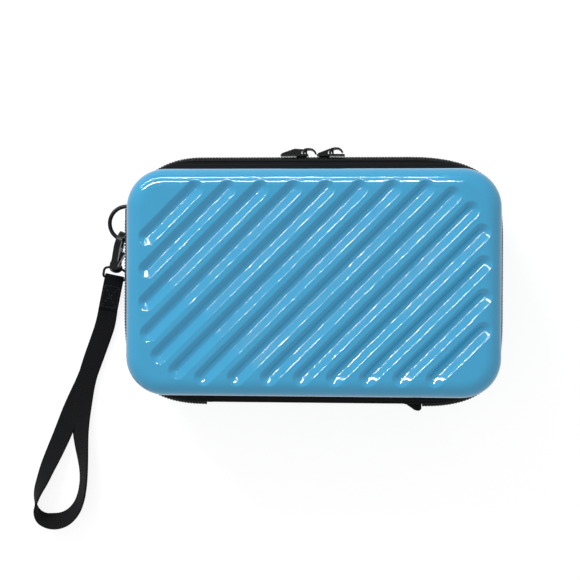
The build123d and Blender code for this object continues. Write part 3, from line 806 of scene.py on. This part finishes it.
# %% The rear shell is the same moulding, turned over
to_zip = Matrix.Translation((0, 0, zip_height * MM))
turn_over = to_zip @ Matrix.Rotation(math.pi, 4, "Y") @ to_zip.inverted()
shell_rear = bpy.data.objects.new("shell_rear", shell_front.data.copy())
scene.collection.objects.link(shell_rear)
shell_rear.data.transform(turn_over)
for piece, body, node in ((shell_front, "lid", "front_shell"), (shell_rear, "base", "rear_shell")):
    piece.data.set_sharp_from_angle(angle=math.radians(40))
    finish_piece(piece, shell_gloss, body, "blue_shell", node)

# %% [markdown]
# ## Fabric band
#
# A band of black cloth closes the gap between the shells. It bulges out to the zip along three sides, most at the
# top, and draws in at the corners. Rings of the band's outline at several heights, bridged one to the next, give
# that shape and keep its rows level, as the cloth's threads are. Each outline is a row of curves with straight
# stretches between them, the same as in the CAD model, drawn here as a closed spline.

# %% Corners of the band's outline
bulges = {"top": 5.4, "left": 3.0, "bottom": 4.0, "right": 0.3}
straights = {"top": (-58.0, 48.0), "bottom": (-56.0, 56.0), "left": (-18.0, 28.0), "right": (-20.0, 22.0)}


def band_knots(share, inset):
    """Start, corner and end of each curve of the outline. Share 0 is the shell's own outline, 1 the full bulge."""
    diagonal = corner_radius * (1 - math.sqrt(0.5)) + inset * math.sqrt(0.5)
    x, y = half_length - diagonal, half_width - diagonal
    reach = {side: share * bulge - inset for side, bulge in bulges.items()}
    top, bottom = half_width + reach["top"], half_width + reach["bottom"]
    left, right = half_length + reach["left"], half_length + reach["right"]

    def straight(side, half):
        ends = (corner_radius - half, half - corner_radius)
        return [share * a + (1 - share) * b for a, b in zip(straights[side], ends)]

    t0, t1 = straight("top", half_length)
    b0, b1 = straight("bottom", half_length)
    l0, l1 = straight("left", half_width)
    r0, r1 = straight("right", half_width)
    return [
        ((x, y), (x - top + y, top), (t1, top)),
        ((t0, top), (top - y - x, top), (-x, y)),
        ((-x, y), (-left, y - left + x), (-left, l1)),
        ((-left, l0), (-left, left - x - y), (-x, -y)),
        ((-x, -y), (bottom - y - x, -bottom), (b0, -bottom)),
        ((b1, -bottom), (x - bottom + y, -bottom), (x, -y)),
        ((x, -y), (right, right - x - y), (right, r0)),
        ((right, r1), (right, y - right + x), (x, y)),
    ]


print("band corners", [tuple(round(x, 1) for x in corner) for _, corner, _ in band_knots(1.0, 0.0)])


# %% Outline of the band at a height
def band_ring(height, share, inset=0.0):
    """The closed outline at a height, as points from a spline with a pair of handles at each knot."""
    curve = bpy.data.curves.new("outline", "CURVE")
    curve.dimensions = "3D"
    curve.resolution_u = 10
    spline = curve.splines.new("BEZIER")
    knots = []
    for start, corner, finish in band_knots(share, inset):
        if not knots or (Vector(start) - Vector(knots[-1][0])).length > 0.01:
            knots.append([start, None, None])
        knots[-1][2] = corner
        knots.append([finish, corner, None])
    knots[0][1] = knots.pop()[1]
    spline.bezier_points.add(len(knots) - 1)
    spline.use_cyclic_u = True
    count = len(knots)
    for number, (knot, (at, back, ahead)) in enumerate(zip(spline.bezier_points, knots)):
        before, after = Vector(knots[number - 1][0]), Vector(knots[(number + 1) % count][0])
        at = Vector(at)
        left = at + (Vector(back) - at) * 2 / 3 if back else at + (before - at) / 3
        right = at + (Vector(ahead) - at) * 2 / 3 if ahead else at + (after - at) / 3
        knot.co = (*at, height)
        knot.handle_left_type = knot.handle_right_type = "FREE"
        knot.handle_left, knot.handle_right = (*left, height), (*right, height)
    return curve_line(curve)


zip_ring = band_ring(zip_height, 1.0)
print("outline", len(zip_ring), "points,", round(lengths(zip_ring)[-1], 1), "mm round")


# %% Distance round the case, for the weave of the band
def around(vertex):
    """Distance round the shell's outline from the middle of the bottom side, clockwise seen from above."""
    x, y = vertex.co.x, vertex.co.y
    straight_x, straight_y = half_length - corner_radius, half_width - corner_radius
    arc = corner_radius * math.pi / 2
    sign = 1 if x < 0 else -1
    x = abs(x)
    if x <= straight_x and y < 0:
        run = x
    elif x <= straight_x:
        run = 2 * straight_x + 2 * straight_y + 2 * arc - x
    elif abs(y) <= straight_y:
        run = straight_x + arc + straight_y + y
    elif y < 0:
        run = straight_x + corner_radius * math.atan2(x - straight_x, -straight_y - y)
    else:
        run = straight_x + arc + 2 * straight_y + corner_radius * math.atan2(y - straight_y, x - straight_x)
    return sign * run


def mark_cloth(bm):
    """Write each vertex's distance round the case and height as its place on the cloth."""
    for vertex in bm.verts:
        on_cloth(bm, vertex, around(vertex) * MM, vertex.co.z * MM)


# %% [markdown]
# The zip parts the band in two tapes, one sewn to each shell. Along the bottom side there is no zip: the band runs
# through from shell to shell as one strip, and this strip is the hinge. Both come from the same rings, cut at the
# ends of the hinge. A level has its distance from the zip, its share of the bulge and its inset.

# %% Rings of the band, bridged and cut at the hinge
hinge_half = 50.0
fabric = 0.7
band_levels = (
    (0.4, 1.0, 0.0), (1.6, 1.0, 0.0), (3.2, 1.0, 0.0), (4.4, 0.985, 0.0), (5.4, 0.93, 0.0),
    (6.2, 0.81, 0.0), (6.9, 0.63, 0.0), (7.4, 0.42, 0.05), (7.8, 0.16, 0.2), (8.0, 0.0, 0.5),
)


def band_strip(bm, levels, side):
    """Bridged rings of the band on one side of the zip: side 1 above it, -1 below it."""
    rings = []
    for height, share, inset in levels:
        row = [bm.verts.new(place) for place in band_ring(zip_height + side * height, share, inset)]
        rings.append([bm.edges.new(pair) for pair in zip(row, row[1:] + row[:1])])
    bridge_rows(bm, rings)


def part_at_hinge(bm, keep_hinge, margin=0.0):
    """Cut the band at the hinge's two ends, and keep the hinge strip or the rest."""
    for x in (-hinge_half - margin, hinge_half + margin):
        geometry = list(bm.verts) + list(bm.edges) + list(bm.faces)
        bmesh.ops.bisect_plane(bm, geom=geometry, plane_co=(x, 0, 0), plane_no=(1, 0, 0), dist=0.0001)
    gone = []
    for face in bm.faces:
        middle = face.calc_center_median()
        hinge = abs(middle.x) < hinge_half + margin and middle.y < 0
        if hinge != keep_hinge:
            gone.append(face)
    bmesh.ops.delete(bm, geom=gone, context="FACES")


def band_piece(name, levels, side, keep_hinge, margin=0.0):
    """A stretch of the band, with its weave and its thickness."""
    bm = start_mesh()
    band_strip(bm, levels, side)
    part_at_hinge(bm, keep_hinge, margin)
    face_outwards(bm)
    mark_cloth(bm)
    piece = make_piece(name, bm)
    solidify(piece, fabric * MM, -1)
    return piece


# %% Upper and lower tape
halves = (("upper", 1, "lid", "front"), ("lower", -1, "base", "rear"))
for name, side, body, node in halves:
    tape = band_piece(f"{name}_zip_tape_cloth", band_levels, side, keep_hinge=False)
    finish_piece(tape, band_cloth, body, "band_fabric", f"{node}_zip_tape")

# %% [markdown]
# The hinge strip belongs to both halves. Ridden on one body it would tear from the other when the lid opens, so it is
# blended: its lower edge stays with the base, its upper edge goes with the lid, and the cloth between them bends.

# %% Strip of cloth that hinges the lid
hinge_levels = sorted((side * height, share, inset) for side in (-1, 1) for height, share, inset in band_levels)
hinge_cloth = band_piece("hinge_cloth", hinge_levels, 1, keep_hinge=True, margin=-0.1)
hinge_cloth.data.materials.append(band_cloth.material)
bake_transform(hinge_cloth, "base", "lid", start=(0, -0.0600, 0.0280), end=(0, -0.0600, 0.0340))
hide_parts("front_hinge_leaf", "rear_hinge_leaf")
print("hinge strip", len(hinge_cloth.data.polygons), "faces")

# %% [markdown]
# ## Zip teeth and stitches
#
# The zip's coil is a nylon wire wound into hundreds of equal loops, which show as small ridges across the band, one
# every millimetre and a half. One ridge is a rounded block of a few dozen faces. It is repeated at equal steps
# along the zip's own line, first above the slit and then below it, half a step on, as the two rows mesh. A row of
# stitches that sews the tape to the band is made in the same way, with smaller blocks further apart.


# %% Equal steps along the zip
def steps_along(ring, pitch, offset=0.0):
    """Places and directions at equal steps along a closed ring."""
    closed = ring + ring[:1]
    runs = lengths(closed)
    count = int(runs[-1] / pitch)
    found = []
    stretch = 0
    for number in range(count):
        run = offset + number * runs[-1] / count
        while stretch < len(closed) - 2 and runs[stretch + 1] < run:
            stretch += 1
        a, b = closed[stretch], closed[stretch + 1]
        place = a.lerp(b, (run - runs[stretch]) / (runs[stretch + 1] - runs[stretch]))
        found.append((place, (b - a).normalized()))
    return found


def block_frame(place, along, height):
    """A frame at a place: X along the zip, Y outwards, Z up."""
    out = Vector((along.y, -along.x, 0))
    frame_of = Matrix((along, out, Vector((0, 0, 1)))).transposed().to_4x4()
    frame_of.translation = Vector((place.x, place.y, height))
    return frame_of


def block_row(name, steps, height, size, rounding, bare_half):
    """Rounded blocks at equal steps round the case, outside a bare stretch of the bottom side."""
    bm = bmesh.new()
    for place, along in steps:
        if place.y < -half_width and abs(place.x) < bare_half:
            continue
        matrix = block_frame(place, along, height) @ Matrix.Diagonal((*size, 1))
        bmesh.ops.create_cube(bm, size=1, matrix=matrix)
    bmesh.ops.bevel(
        bm, geom=bm.edges[:], affect="EDGES", offset=rounding, segments=2, profile=0.5, material=-1, clamp_overlap=True
    )
    return make_piece(name, bm)


# %% Teeth and stitches of both halves
tooth_pitch, tooth_size, tooth_rounding = 1.5, (0.98, 1.42, 1.6), 0.3
tooth_ring = band_ring(zip_height, 1.0, -0.72)
tooth_height, coil_half = 1.12, 54.3
stitch_pitch, stitch_size, stitch_rounding = 2.6, (2.0, 0.34, 0.42), 0.12
stitch_ring = band_ring(zip_height, 1.0, 0.04)
stitch_height = 3.0
for name, side, body, node in halves:
    steps = steps_along(tooth_ring, tooth_pitch, 0.0 if side > 0 else tooth_pitch / 2)
    height = zip_height + side * tooth_height
    teeth = block_row(f"{name}_zip_teeth", steps, height, tooth_size, tooth_rounding, coil_half)
    finish_piece(teeth, coil_nylon, body, "zip_coil", f"{node}_zip_coil")
    steps = steps_along(stitch_ring, stitch_pitch)
    height = zip_height + side * stitch_height
    seam = block_row(f"{name}_zip_stitches", steps, height, stitch_size, stitch_rounding, hinge_half + 2)
    finish_piece(seam, thread_black, body, "band_fabric")

# %% [markdown]
# ## Lining and binding
#
# Inside, each shell is lined with a thin cloth tray, and a folded tape binds the raw edges where the shell, the
# lining and the zip tape are sewn together. Both follow the shell's outline, so they grow inwards from the same
# rounded face as the shell did. The binding's lower fold covers the shell's rim, which would show as a bright line
# in the open case.

# %% Lining tray and binding tape
lining_thickness, binding_thickness = 0.8, 0.78
tray = ((2.55, rim_height), (3.3, 51.0), (3.6, 56.2), (4.2, 57.4), (5.5, 58.0), (7.0, 58.02), (12.0, 58.02))
folds = ((0.9, 38.4), (1.6, 37.8), (1.68, 39.2), (2.0, 46.0))


def make_lining(name):
    """A tray that lines the shell, its weave laid straight across it."""
    bm = start_mesh()
    gap, height = tray[0]
    grow_inward(bm, outline_face(bm, height, gap), tray)
    face_outwards(bm)
    for vertex in bm.verts:
        on_cloth(bm, vertex, vertex.co.x * MM, (vertex.co.y + vertex.co.z) * MM)
    piece = make_piece(name, bm)
    solidify(piece, lining_thickness * MM, -1)
    return piece


def make_binding(name):
    """A tape folded over the rim of the shell and up its inside."""
    bm = start_mesh()
    gap, height = folds[0]
    face = grow_inward(bm, outline_face(bm, height, gap), folds)
    bmesh.ops.delete(bm, geom=[face], context="FACES")
    face_outwards(bm)
    mark_cloth(bm)
    piece = make_piece(name, bm)
    solidify(piece, binding_thickness * MM, -1)
    return piece


# %% Linings and bindings of both halves
for name, body in (("front", "lid"), ("rear", "base")):
    lining = make_lining(f"{name}_lining_cloth")
    binding = make_binding(f"{name}_binding_tape")
    if name == "rear":
        for piece in (lining, binding):
            piece.data.transform(turn_over)
    finish_piece(lining, lining_cloth, body, "lining_cloth", f"{name}_lining")
    finish_piece(binding, binding_cloth, body, "binding_tape", f"{name}_binding")

# %% [markdown]
# ## Folded webbing
#
# The ring hangs in a short tab of thin webbing, sewn into the seam, and the strap's end is folded round the eye and
# stitched to itself. A fold could be a box with a bent end, but webbing keeps its thickness round the turn, so each
# fold is a ribbon that follows a line and then gets its thickness.


# %% Ribbons that follow a line
def ribbon(name, line, width_way, width, thickness):
    """A ribbon of webbing whose middle follows a line, with its width along a direction, in metres."""
    bm = start_mesh()
    runs = lengths(line)
    rows = []
    for share in shares:
        row = [point + width_way * share * width / 2 for point in line]
        rows.append(line_vertices(bm, row, share * width / 2, runs))
    bridge_rows(bm, rows)
    bmesh.ops.recalc_face_normals(bm, faces=bm.faces)
    piece = make_piece(name, bm, scale=1)
    solidify(piece, thickness, 0)
    return piece


# %% Rows of stitches
stitch_depth = 0.0004


def stitch_row(bm, start, finish, face_way, pitch=0.0022, length=0.0016, width=0.0004):
    """Stitches as small blocks in a row between two points, in metres."""
    run = finish - start
    count = max(2, round(run.length / pitch))
    along = run.normalized()
    frame_of = Matrix((along, face_way.cross(along), face_way)).transposed().to_4x4()
    for number in range(count):
        frame_of.translation = start + run * (number + 0.5) / count
        matrix = frame_of @ Matrix.Diagonal((length, width, stitch_depth, 1))
        bmesh.ops.create_cube(bm, size=1, matrix=matrix)


def finish_stitches(bm, name, body, slot):
    """Round the stitches' edges and make them a piece."""
    bmesh.ops.bevel(bm, geom=bm.edges[:], affect="EDGES", offset=0.00013, segments=2, profile=0.5, material=-1)
    piece = make_piece(name, bm, scale=1)
    finish_piece(piece, thread_black, body, slot)
    return piece


# %% Ring tab
tab_middle = 32.0
tab_width, tab_thickness = 0.011, 0.0007
tab_line = [(x, 26.75) for x in (-90.95, -92.4, -93.8, -95.0)]
tab_line += arc_points((-96.2, 25.2), 1.55, 90, 180, 10)
tab_line += [(x, 23.65) for x in (-95.0, -93.8, -92.4, -90.95)]
tab_line = [Vector((x, tab_middle, z)) * MM for x, z in tab_line]
ring_tab = ribbon("ring_tab_webbing", tab_line, Vector((0, 1, 0)), tab_width, tab_thickness)
finish_piece(ring_tab, webbing_cloth, "base", "webbing", "ring_tab")

# %% [markdown]
# The strap's cut end lies inside the fold, so the sewn end is three layers thick. The seam that holds them is a box
# with a cross in it, the usual one for webbing, and it shows on both faces.

# %% Sewn end of the strap
fold_side = [(17.0, 1.1), (13.0, 1.1), (9.0, 1.1), (5.0, 1.1), (2.6, 1.12), (1.2, 1.28)]
fold_line = fold_side + arc_points((0.0, 0.0), 1.35, 80, 200, 12) + [(u, -v) for u, v in reversed(fold_side)]
fold_line = [eye_bar + (sewn_down * u + sewn_out * v) * MM for u, v in fold_line]
sewn_end = ribbon("sewn_end_webbing", fold_line, eye_across, webbing_width, webbing_thickness)
finish_piece(sewn_end, webbing_cloth, "swivel", "webbing", "strap_sewn_end")

inner_line = [eye_bar + sewn_down * u * MM for u in (3.4, 7.0, 11.0, 16.9)]
sewn_inner = ribbon("sewn_end_inner_layer", inner_line, eye_across, webbing_width * 0.98, webbing_thickness)
finish_piece(sewn_inner, webbing_cloth, "swivel", "webbing")

# %% Box of stitches with a cross, on both faces of the sewn end
box_corners = ((4.0, -4.0), (4.0, 4.0), (15.6, 4.0), (15.6, -4.0))
box_rows = ((0, 1), (3, 2), (0, 3), (1, 2), (0, 2), (1, 3))
middle_to_face = 0.00168
bm = bmesh.new()
for out in (-sewn_out, sewn_out):
    face_middle = eye_bar + out * middle_to_face
    places = [face_middle + (sewn_down * u + eye_across * across) * MM for u, across in box_corners]
    for start, finish in box_rows:
        stitch_row(bm, places[start], places[finish], out)
sewn_stitches = finish_stitches(bm, "sewn_end_stitches", "swivel", "webbing")

# %% [markdown]
# The webbing between the two layers of the sewn end is free: it hangs and lies as it likes. Its free length is printed
# here with the whole length of the webbing.

# %% Length of the free cord, from the sewn end round to the sewn end
print("cord", declared, "m of", round(strap_runs[-1], 3), "m of webbing")

# %% [markdown]
# ## Zip end tab
#
# Where the zip stops, near the right end of the bottom side, a folded scrap of cloth covers its end. It is the small
# bump under the case's edge. Its outline seen from above is raised to its height, and its rims are rounded as a fold.

# %% Cloth of the zip end tab
bm = start_mesh()
tab_points = (
    (43.9, -60.3), (46.4, -60.9), (48.4, -62.2), (50.2, -63.5), (51.4, -63.9), (53.0, -63.9), (53.9, -63.0),
    (53.9, -60.3),
)
tab_half = 3.75
outline = bm.faces.new([bm.verts.new((x, y, zip_height - tab_half)) for x, y in tab_points])
raised = bmesh.ops.extrude_face_region(bm, geom=[outline])["geom"]
raised = [item for item in raised if isinstance(item, bmesh.types.BMVert)]
bmesh.ops.translate(bm, verts=raised, vec=(0, 0, 2 * tab_half))
bmesh.ops.recalc_face_normals(bm, faces=bm.faces)
rims = [edge for edge in bm.edges if abs(edge.verts[0].co.z - edge.verts[1].co.z) < 0.01]
bmesh.ops.bevel(bm, geom=rims, affect="EDGES", offset=0.5, segments=4, profile=0.5, material=-1, clamp_overlap=True)
for vertex in bm.verts:
    on_cloth(bm, vertex, vertex.co.z * MM, vertex.co.x * MM)
end_tab = make_piece("zip_end_tab_cloth", bm)
finish_piece(end_tab, binding_cloth, "base", "binding_tape", "zip_end_tab")

# %% Its row of stitches
bm = bmesh.new()
low_stitch, high_stitch = Vector((0.0523, -0.06398, 0.0281)), Vector((0.0523, -0.06398, 0.0339))
stitch_row(bm, low_stitch, high_stitch, Vector((0, -1, 0)), 0.0019, 0.0014)
finish_stitches(bm, "zip_end_tab_stitches", "base", "binding_tape")

# %% [markdown]
# ## Ring and eye
#
# The side ring is a bent rod and the swivel eye is a turned rivet with a wire loop. A bent rod is one section spun
# round each bend and extruded along each straight. A turned part is its half section spun once round.


# %% Bends of a rod
def bend(bm, edges, centre, angle, steps):
    """Spin open edges round a point in the ring's plane, and return the edges they end as."""
    geometry = edges + list({vertex for edge in edges for vertex in edge.verts})
    spun = bmesh.ops.spin(
        bm, geom=geometry, cent=centre, axis=(0, 0, 1), angle=math.radians(angle), steps=steps, use_merge=False
    )
    return [item for item in spun["geom_last"] if isinstance(item, bmesh.types.BMEdge)]


# %% Bent rod of the ring: the bow, a corner, the bar and the other corner
wire = 1.05
bow_radius, corner_bend = 8.7, 1.2
bar_half = bow_radius - corner_bend
ring_middle_y, ring_z = 30.1, 25.2
bow_x = -96.2 - corner_bend
bm = bmesh.new()
start = Matrix.Translation((bow_x, ring_middle_y + bow_radius, ring_z)) @ Matrix.Rotation(math.pi / 2, 4, "Y")
bmesh.ops.create_circle(bm, segments=20, radius=wire, matrix=start)
edges = bend(bm, bm.edges[:], (bow_x, ring_middle_y, ring_z), 180, 48)
edges = bend(bm, edges, (bow_x, ring_middle_y - bar_half, ring_z), 90, 8)
grown = bmesh.ops.extrude_edge_only(bm, edges=edges)["geom"]
moved = [item for item in grown if isinstance(item, bmesh.types.BMVert)]
edges = [item for item in grown if isinstance(item, bmesh.types.BMEdge) and all(v in moved for v in item.verts)]
bmesh.ops.translate(bm, verts=moved, vec=(0, 2 * bar_half, 0))
bend(bm, edges, (bow_x, ring_middle_y + bar_half, ring_z), 90, 8)
bmesh.ops.remove_doubles(bm, verts=bm.verts, dist=0.01)
bmesh.ops.recalc_face_normals(bm, faces=bm.faces)
print("ring open edges", sum(edge.is_boundary for edge in bm.edges))
side_ring = make_piece("side_ring", bm)
finish_piece(side_ring, black_lacquer, "ring", "black_metal", "d_ring")

# %% [markdown]
# The eye turns in the hook's collar on a stem with a head on each side of it. The stem and its two heads are one
# turned profile, given as radius and distance down from the hook. The wire loop runs from one side of the lower disc
# round the strap's bar and back, as a steered curve with a round section.

# %% Turned rivet and disc of the eye
rivet = (
    (0.0, 11.8), (1.6, 11.8), (1.83, 11.88), (1.9, 12.05), (1.9, 12.5), (1.8, 12.68), (1.1, 12.7), (1.1, 20.27),
    (3.1, 20.25), (3.38, 20.36), (3.5, 20.6), (3.5, 21.1), (3.38, 21.34), (3.1, 21.45), (0.0, 21.45),
)
bm = bmesh.new()
half = [bm.verts.new((radius, 0, u)) for radius, u in rivet]
half_edges = [bm.edges.new(pair) for pair in zip(half, half[1:])]
bmesh.ops.spin(
    bm, geom=half + half_edges, cent=(0, 0, 0), axis=(0, 0, 1), angle=2 * math.pi, steps=40, use_merge=True
)
bmesh.ops.remove_doubles(bm, verts=bm.verts, dist=0.005)
print("rivet", len(bm.faces), "faces")

# %% Wire loop of the eye
loop_points = (
    (20.95, -1.6), (21.2, -3.4), (22.0, -5.1), (23.6, -5.95), (25.6, -5.95), (27.4, -5.95),
    (28.8, -5.6), (28.8, -4.2), (28.8, -1.5), (28.8, 1.5), (28.8, 4.2), (28.8, 5.6),
    (27.4, 5.95), (25.6, 5.95), (23.6, 5.95), (22.0, 5.1), (21.2, 3.4), (20.95, 1.6),
)
wire_curve = nurbs_curve("eye_loop", [(across, 0, down) for down, across in loop_points])
wire_curve.bevel_depth = 0.65
wire_curve.bevel_resolution = 4
wire_curve.use_fill_caps = True
loop_mesh = curve_mesh(wire_curve)
bm.from_mesh(loop_mesh)
bpy.data.meshes.remove(loop_mesh)
bmesh.ops.recalc_face_normals(bm, faces=bm.faces)
bmesh.ops.scale(bm, vec=(MM, MM, MM), verts=bm.verts)
eye_frame = Matrix((eye_across, hook_down.cross(eye_across), hook_down)).transposed().to_4x4()
eye_frame.translation = hook_point
bmesh.ops.transform(bm, matrix=eye_frame, verts=bm.verts)
eye = make_piece("swivel_eye_wire", bm, scale=1)
finish_piece(eye, black_lacquer, "swivel", "black_metal", "swivel_eye")

# %% [markdown]
# ## Cast parts
#
# The hook, its gate, the two sliders and their pulls are zinc castings. Their shapes are right in the CAD model, but
# a casting has no sharp edge anywhere, and the thin bright line along each edge is what shows that it is metal. So
# each one is a copy of its CAD mesh with the loose triangles joined, the flats made whole and a small rounding on
# every edge.


# %% Copies with rounded edges
def rounded_copy(node, name, body, radius):
    """A copy of a CAD node with its triangles joined, its flats dissolved and its edges rounded."""
    bm = bmesh.new()
    bm.from_mesh(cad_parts[node].data)
    bmesh.ops.remove_doubles(bm, verts=bm.verts, dist=0.000002)
    bmesh.ops.dissolve_limit(
        bm, angle_limit=math.radians(1.5), use_dissolve_boundaries=False, verts=bm.verts, edges=bm.edges
    )
    print(node, len(bm.faces), "faces, open edges", sum(edge.is_boundary for edge in bm.edges))
    piece = make_piece(name, bm, scale=1)
    edge_rounding = piece.modifiers.new("rounding", "BEVEL")
    edge_rounding.width = radius
    edge_rounding.segments = 2
    edge_rounding.limit_method = "ANGLE"
    edge_rounding.angle_limit = math.radians(32)
    edge_rounding.use_clamp_overlap = True
    normals = piece.modifiers.new("normals", "WEIGHTED_NORMAL")
    normals.keep_sharp = False
    finish_piece(piece, black_lacquer, body, "black_metal", node)


# %% Hook, gate, sliders and pulls
for node, name, body, radius in (
    ("hook_body", "snap_hook", "hook", 0.0004),
    ("hook_gate", "snap_gate", "gate", 0.0002),
    ("slider_left", "zip_slider_left", "slider_left", 0.00018),
    ("slider_right", "zip_slider_right", "slider_right", 0.00018),
    ("pull_left", "zip_pull_left", "pull_left", 0.00022),
    ("pull_right", "zip_pull_right", "pull_right", 0.00022),
):
    rounded_copy(node, name, body, radius)

# %% The pin and spring keep their CAD meshes and take a finish
for node in ("gate_pin", "gate_spring"):
    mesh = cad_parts[node].data
    mesh.materials.clear()
    mesh.materials.append(spring_steel.material)
    print(node, len(mesh.polygons), "faces in", spring_steel.material.name)

# %% [markdown]
# ## Table and light
#
# The photograph has a white ground, an even soft light that comes mostly from beyond the zip, and two thin bright
# lines on every surface that leans that way. Two narrow strip lamps give those lines. They would light the case far
# too strongly, so they show in reflections only, and a broad lamp with the white room does the lighting. The strips'
# left ends are where the highlights stop across the lower left corner.
#
# The floor could be a bright white, but it would throw light back up at the case. So its own colour is grey, and what
# the camera sees of it is lifted to white, which leaves the case's shadow on it.

# %% Floor
bm = bmesh.new()
bmesh.ops.create_circle(bm, cap_ends=True, segments=64, radius=3.0)
floor = make_piece("floor", bm, scale=1, smooth=False)
floor_white = Finish("floor_white", (0.20, 0.20, 0.20), 0.9, Specular_IOR_Level=0.0)
lift = floor_white.seen_share() * 0.86
shine = floor_white.node("ShaderNodeEmission", None, {"Color": (1, 1, 1, 1), "Strength": lift})
diffuse = Reading(floor_white, floor_white.shader.outputs["BSDF"])
lifted = floor_white.node("ShaderNodeAddShader", None, {0: diffuse, 1: shine})
floor_white.connect(lifted, floor_white.tree.nodes["Material Output"].inputs["Surface"])
floor.data.materials.append(floor_white.material)
print("floor", len(floor_white.tree.nodes), "nodes in its finish")

# %% White room, a little darker for the light that falls on things than for what is seen
room = bpy.data.worlds.new("room")
room.use_nodes = True
scene.world = room
room_nodes = NodeTree(room.node_tree)
levels = {"Value": room_nodes.seen_share(), "To Min": 0.72, "To Max": 1.0}
ground = room.node_tree.nodes["Background"].inputs
room_nodes.connect((1, 1, 1, 1), ground["Color"])
room_nodes.connect(room_nodes.node("ShaderNodeMapRange", None, levels, output="Result"), ground["Strength"])
print("room", len(room.node_tree.nodes), "nodes")


# %% Lamps
def lamp(name, width, depth, place, aim, power, reflections):
    """A rectangular lamp at a place, facing a point. It shows in reflections only, or lights only."""
    data = bpy.data.lights.new(name, "AREA")
    data.shape = "RECTANGLE"
    data.size = width
    data.size_y = depth
    data.energy = power
    light = bpy.data.objects.new(name, data)
    scene.collection.objects.link(light)
    light.location = place
    light.rotation_euler = (Vector(aim) - Vector(place)).to_track_quat("-Z", "Y").to_euler()
    light.visible_diffuse = not reflections
    light.visible_glossy = reflections
    print(name, [round(x, 3) for x in place], "width", round(width, 2))


lamp("broad_lamp", 1.0, 0.8, (-1.1, 1.9, 1.25), (0, 0, 0.03), 42.0, False)

# %% Strip lamps, each at a height and at a tilt away from straight above the case
strip_height, strip_depth, right_end = 0.9, 0.02, 0.12
power_per_metre = 15.5
for name, tilt, left_end in (("near_strip", 31.6, -0.825), ("far_strip", 56.5, -1.78)):
    away = strip_height * math.tan(math.radians(tilt))
    width = right_end - left_end
    middle = (left_end + right_end) / 2
    place = (middle, away, strip_height)
    lamp(name, width, strip_depth, place, (middle, 0, 0.05), power_per_metre * width, True)
